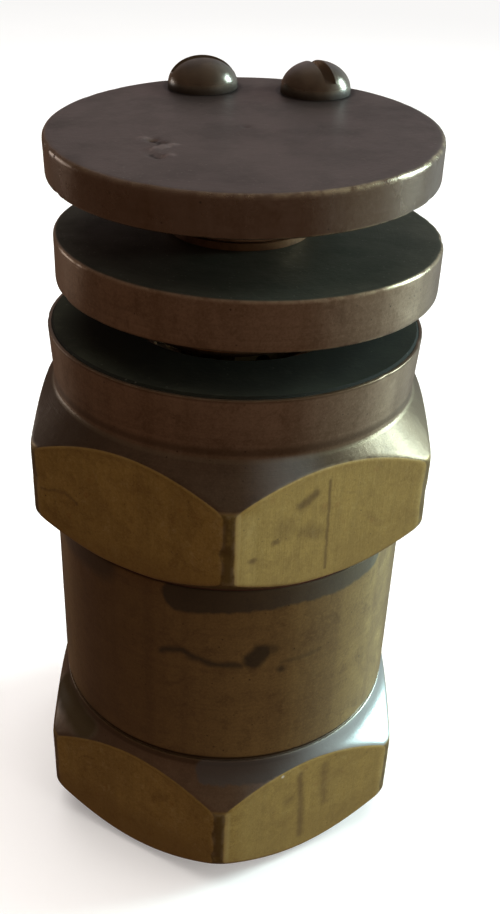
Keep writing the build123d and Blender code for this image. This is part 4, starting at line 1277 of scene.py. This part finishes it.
def build_floor():
    """Wide floor that the vent stands on; the metal mirrors the dim room instead of it."""
    half = FLOOR_HALF_WIDTH
    corners = [(-half, -half, 0), (half, -half, 0), (half, half, 0), (-half, half, 0)]
    mesh = bpy.data.meshes.new("floor")
    mesh.from_pydata(corners, [], [(0, 1, 2, 3)])
    floor = bpy.data.objects.new("floor", mesh)
    bpy.context.scene.collection.objects.link(floor)
    floor.location.z = -FLOOR_GAP
    floor.data.materials.append(floor_material())
    floor.visible_glossy = False
    floor.visible_diffuse = False


def area_light(name, place, size, power, colour, mirrored=True):
    """Soft window or card of light aimed at the middle of the vent; metal mirrors it or not."""
    data = bpy.data.lights.new(name, "AREA")
    data.shape = "RECTANGLE"
    data.size, data.size_y = size
    data.energy = power
    data.color = colour
    lamp = bpy.data.objects.new(name, data)
    lamp.location = place
    aim = Vector(AIM_POINT) - Vector(place)
    lamp.rotation_euler = aim.to_track_quat("-Z", "Y").to_euler()
    lamp.visible_glossy = mirrored
    bpy.context.scene.collection.objects.link(lamp)


def build_lights():
    """Tall window on the right and a little behind, a weak one at the left, and a soft overhead."""
    area_light("window_right", (0.535, 0.165, 0.25), (0.19, 0.34), 4.5, (0.69, 0.98, 1.0))
    area_light("side_card", (0.50, -0.22, 0.25), (0.5, 0.5), 1.9, (0.98, 0.96, 0.93), mirrored=False)
    area_light("window_left", (-0.48, 0.26, 0.07), (0.22, 0.12), 0.17, (1.0, 0.95, 0.92))
    area_light("overhead", (0.0, 0.3, 1.30), (1.8, 1.8), 26.0, (1.0, 0.98, 0.96), mirrored=False)


def build_world():
    """Dim warm room for the metal to mirror, lighter towards the window; the camera sees a pale wall."""
    world = bpy.data.worlds.new("room")
    world.use_nodes = True
    n = Nodes(world.node_tree)
    background = n.add("ShaderNodeBackground")
    output = n.add("ShaderNodeOutputWorld")
    n.tree.links.new(background.outputs[0], output.inputs[0])
    x, y, z = n.split(n.add("ShaderNodeTexCoord").outputs["Generated"])
    back_wall = n.product(n.ramp(z, -0.1, 0.5), n.ramp(y, -0.1, 0.7), n.ramp(x, -0.85, -0.15))
    wall_colour = n.mix(n.ramp(x, 0.02, 0.35), (0.265, 0.225, 0.230), (0.225, 0.220, 0.250))
    room = n.mix(back_wall, (0.122, 0.070, 0.046), wall_colour)
    towards_window = n.ramp(n.math("ADD", x, n.product(y, 0.3)), 0.3, 1.1)
    room = n.mix(towards_window, room, (0.50, 0.56, 0.55))
    seen_by_camera = n.add("ShaderNodeLightPath").outputs["Is Camera Ray"]
    n.put(background.inputs[0], n.mix(seen_by_camera, room, BACKDROP))
    bpy.context.scene.world = world


def build_camera():
    """Camera close to the vent, above it and slightly rolled; plain contrast."""
    data = bpy.data.cameras.new("camera")
    data.sensor_fit = "AUTO"
    data.sensor_width = 36
    data.lens = CAMERA_LENS
    data.clip_start = 0.005
    camera = bpy.data.objects.new("camera", data)
    turn = Matrix((CAMERA_RIGHT, CAMERA_UP, CAMERA_BACK)).transposed().to_4x4()
    camera.matrix_world = Matrix.Translation(Vector(CAMERA_PLACE)) @ turn
    bpy.context.scene.collection.objects.link(camera)
    bpy.context.scene.camera = camera
    bpy.context.scene.view_settings.view_transform = "Standard"


dress_cad_pieces()
build_pieces()
build_floor()
build_lights()
build_world()
build_camera()
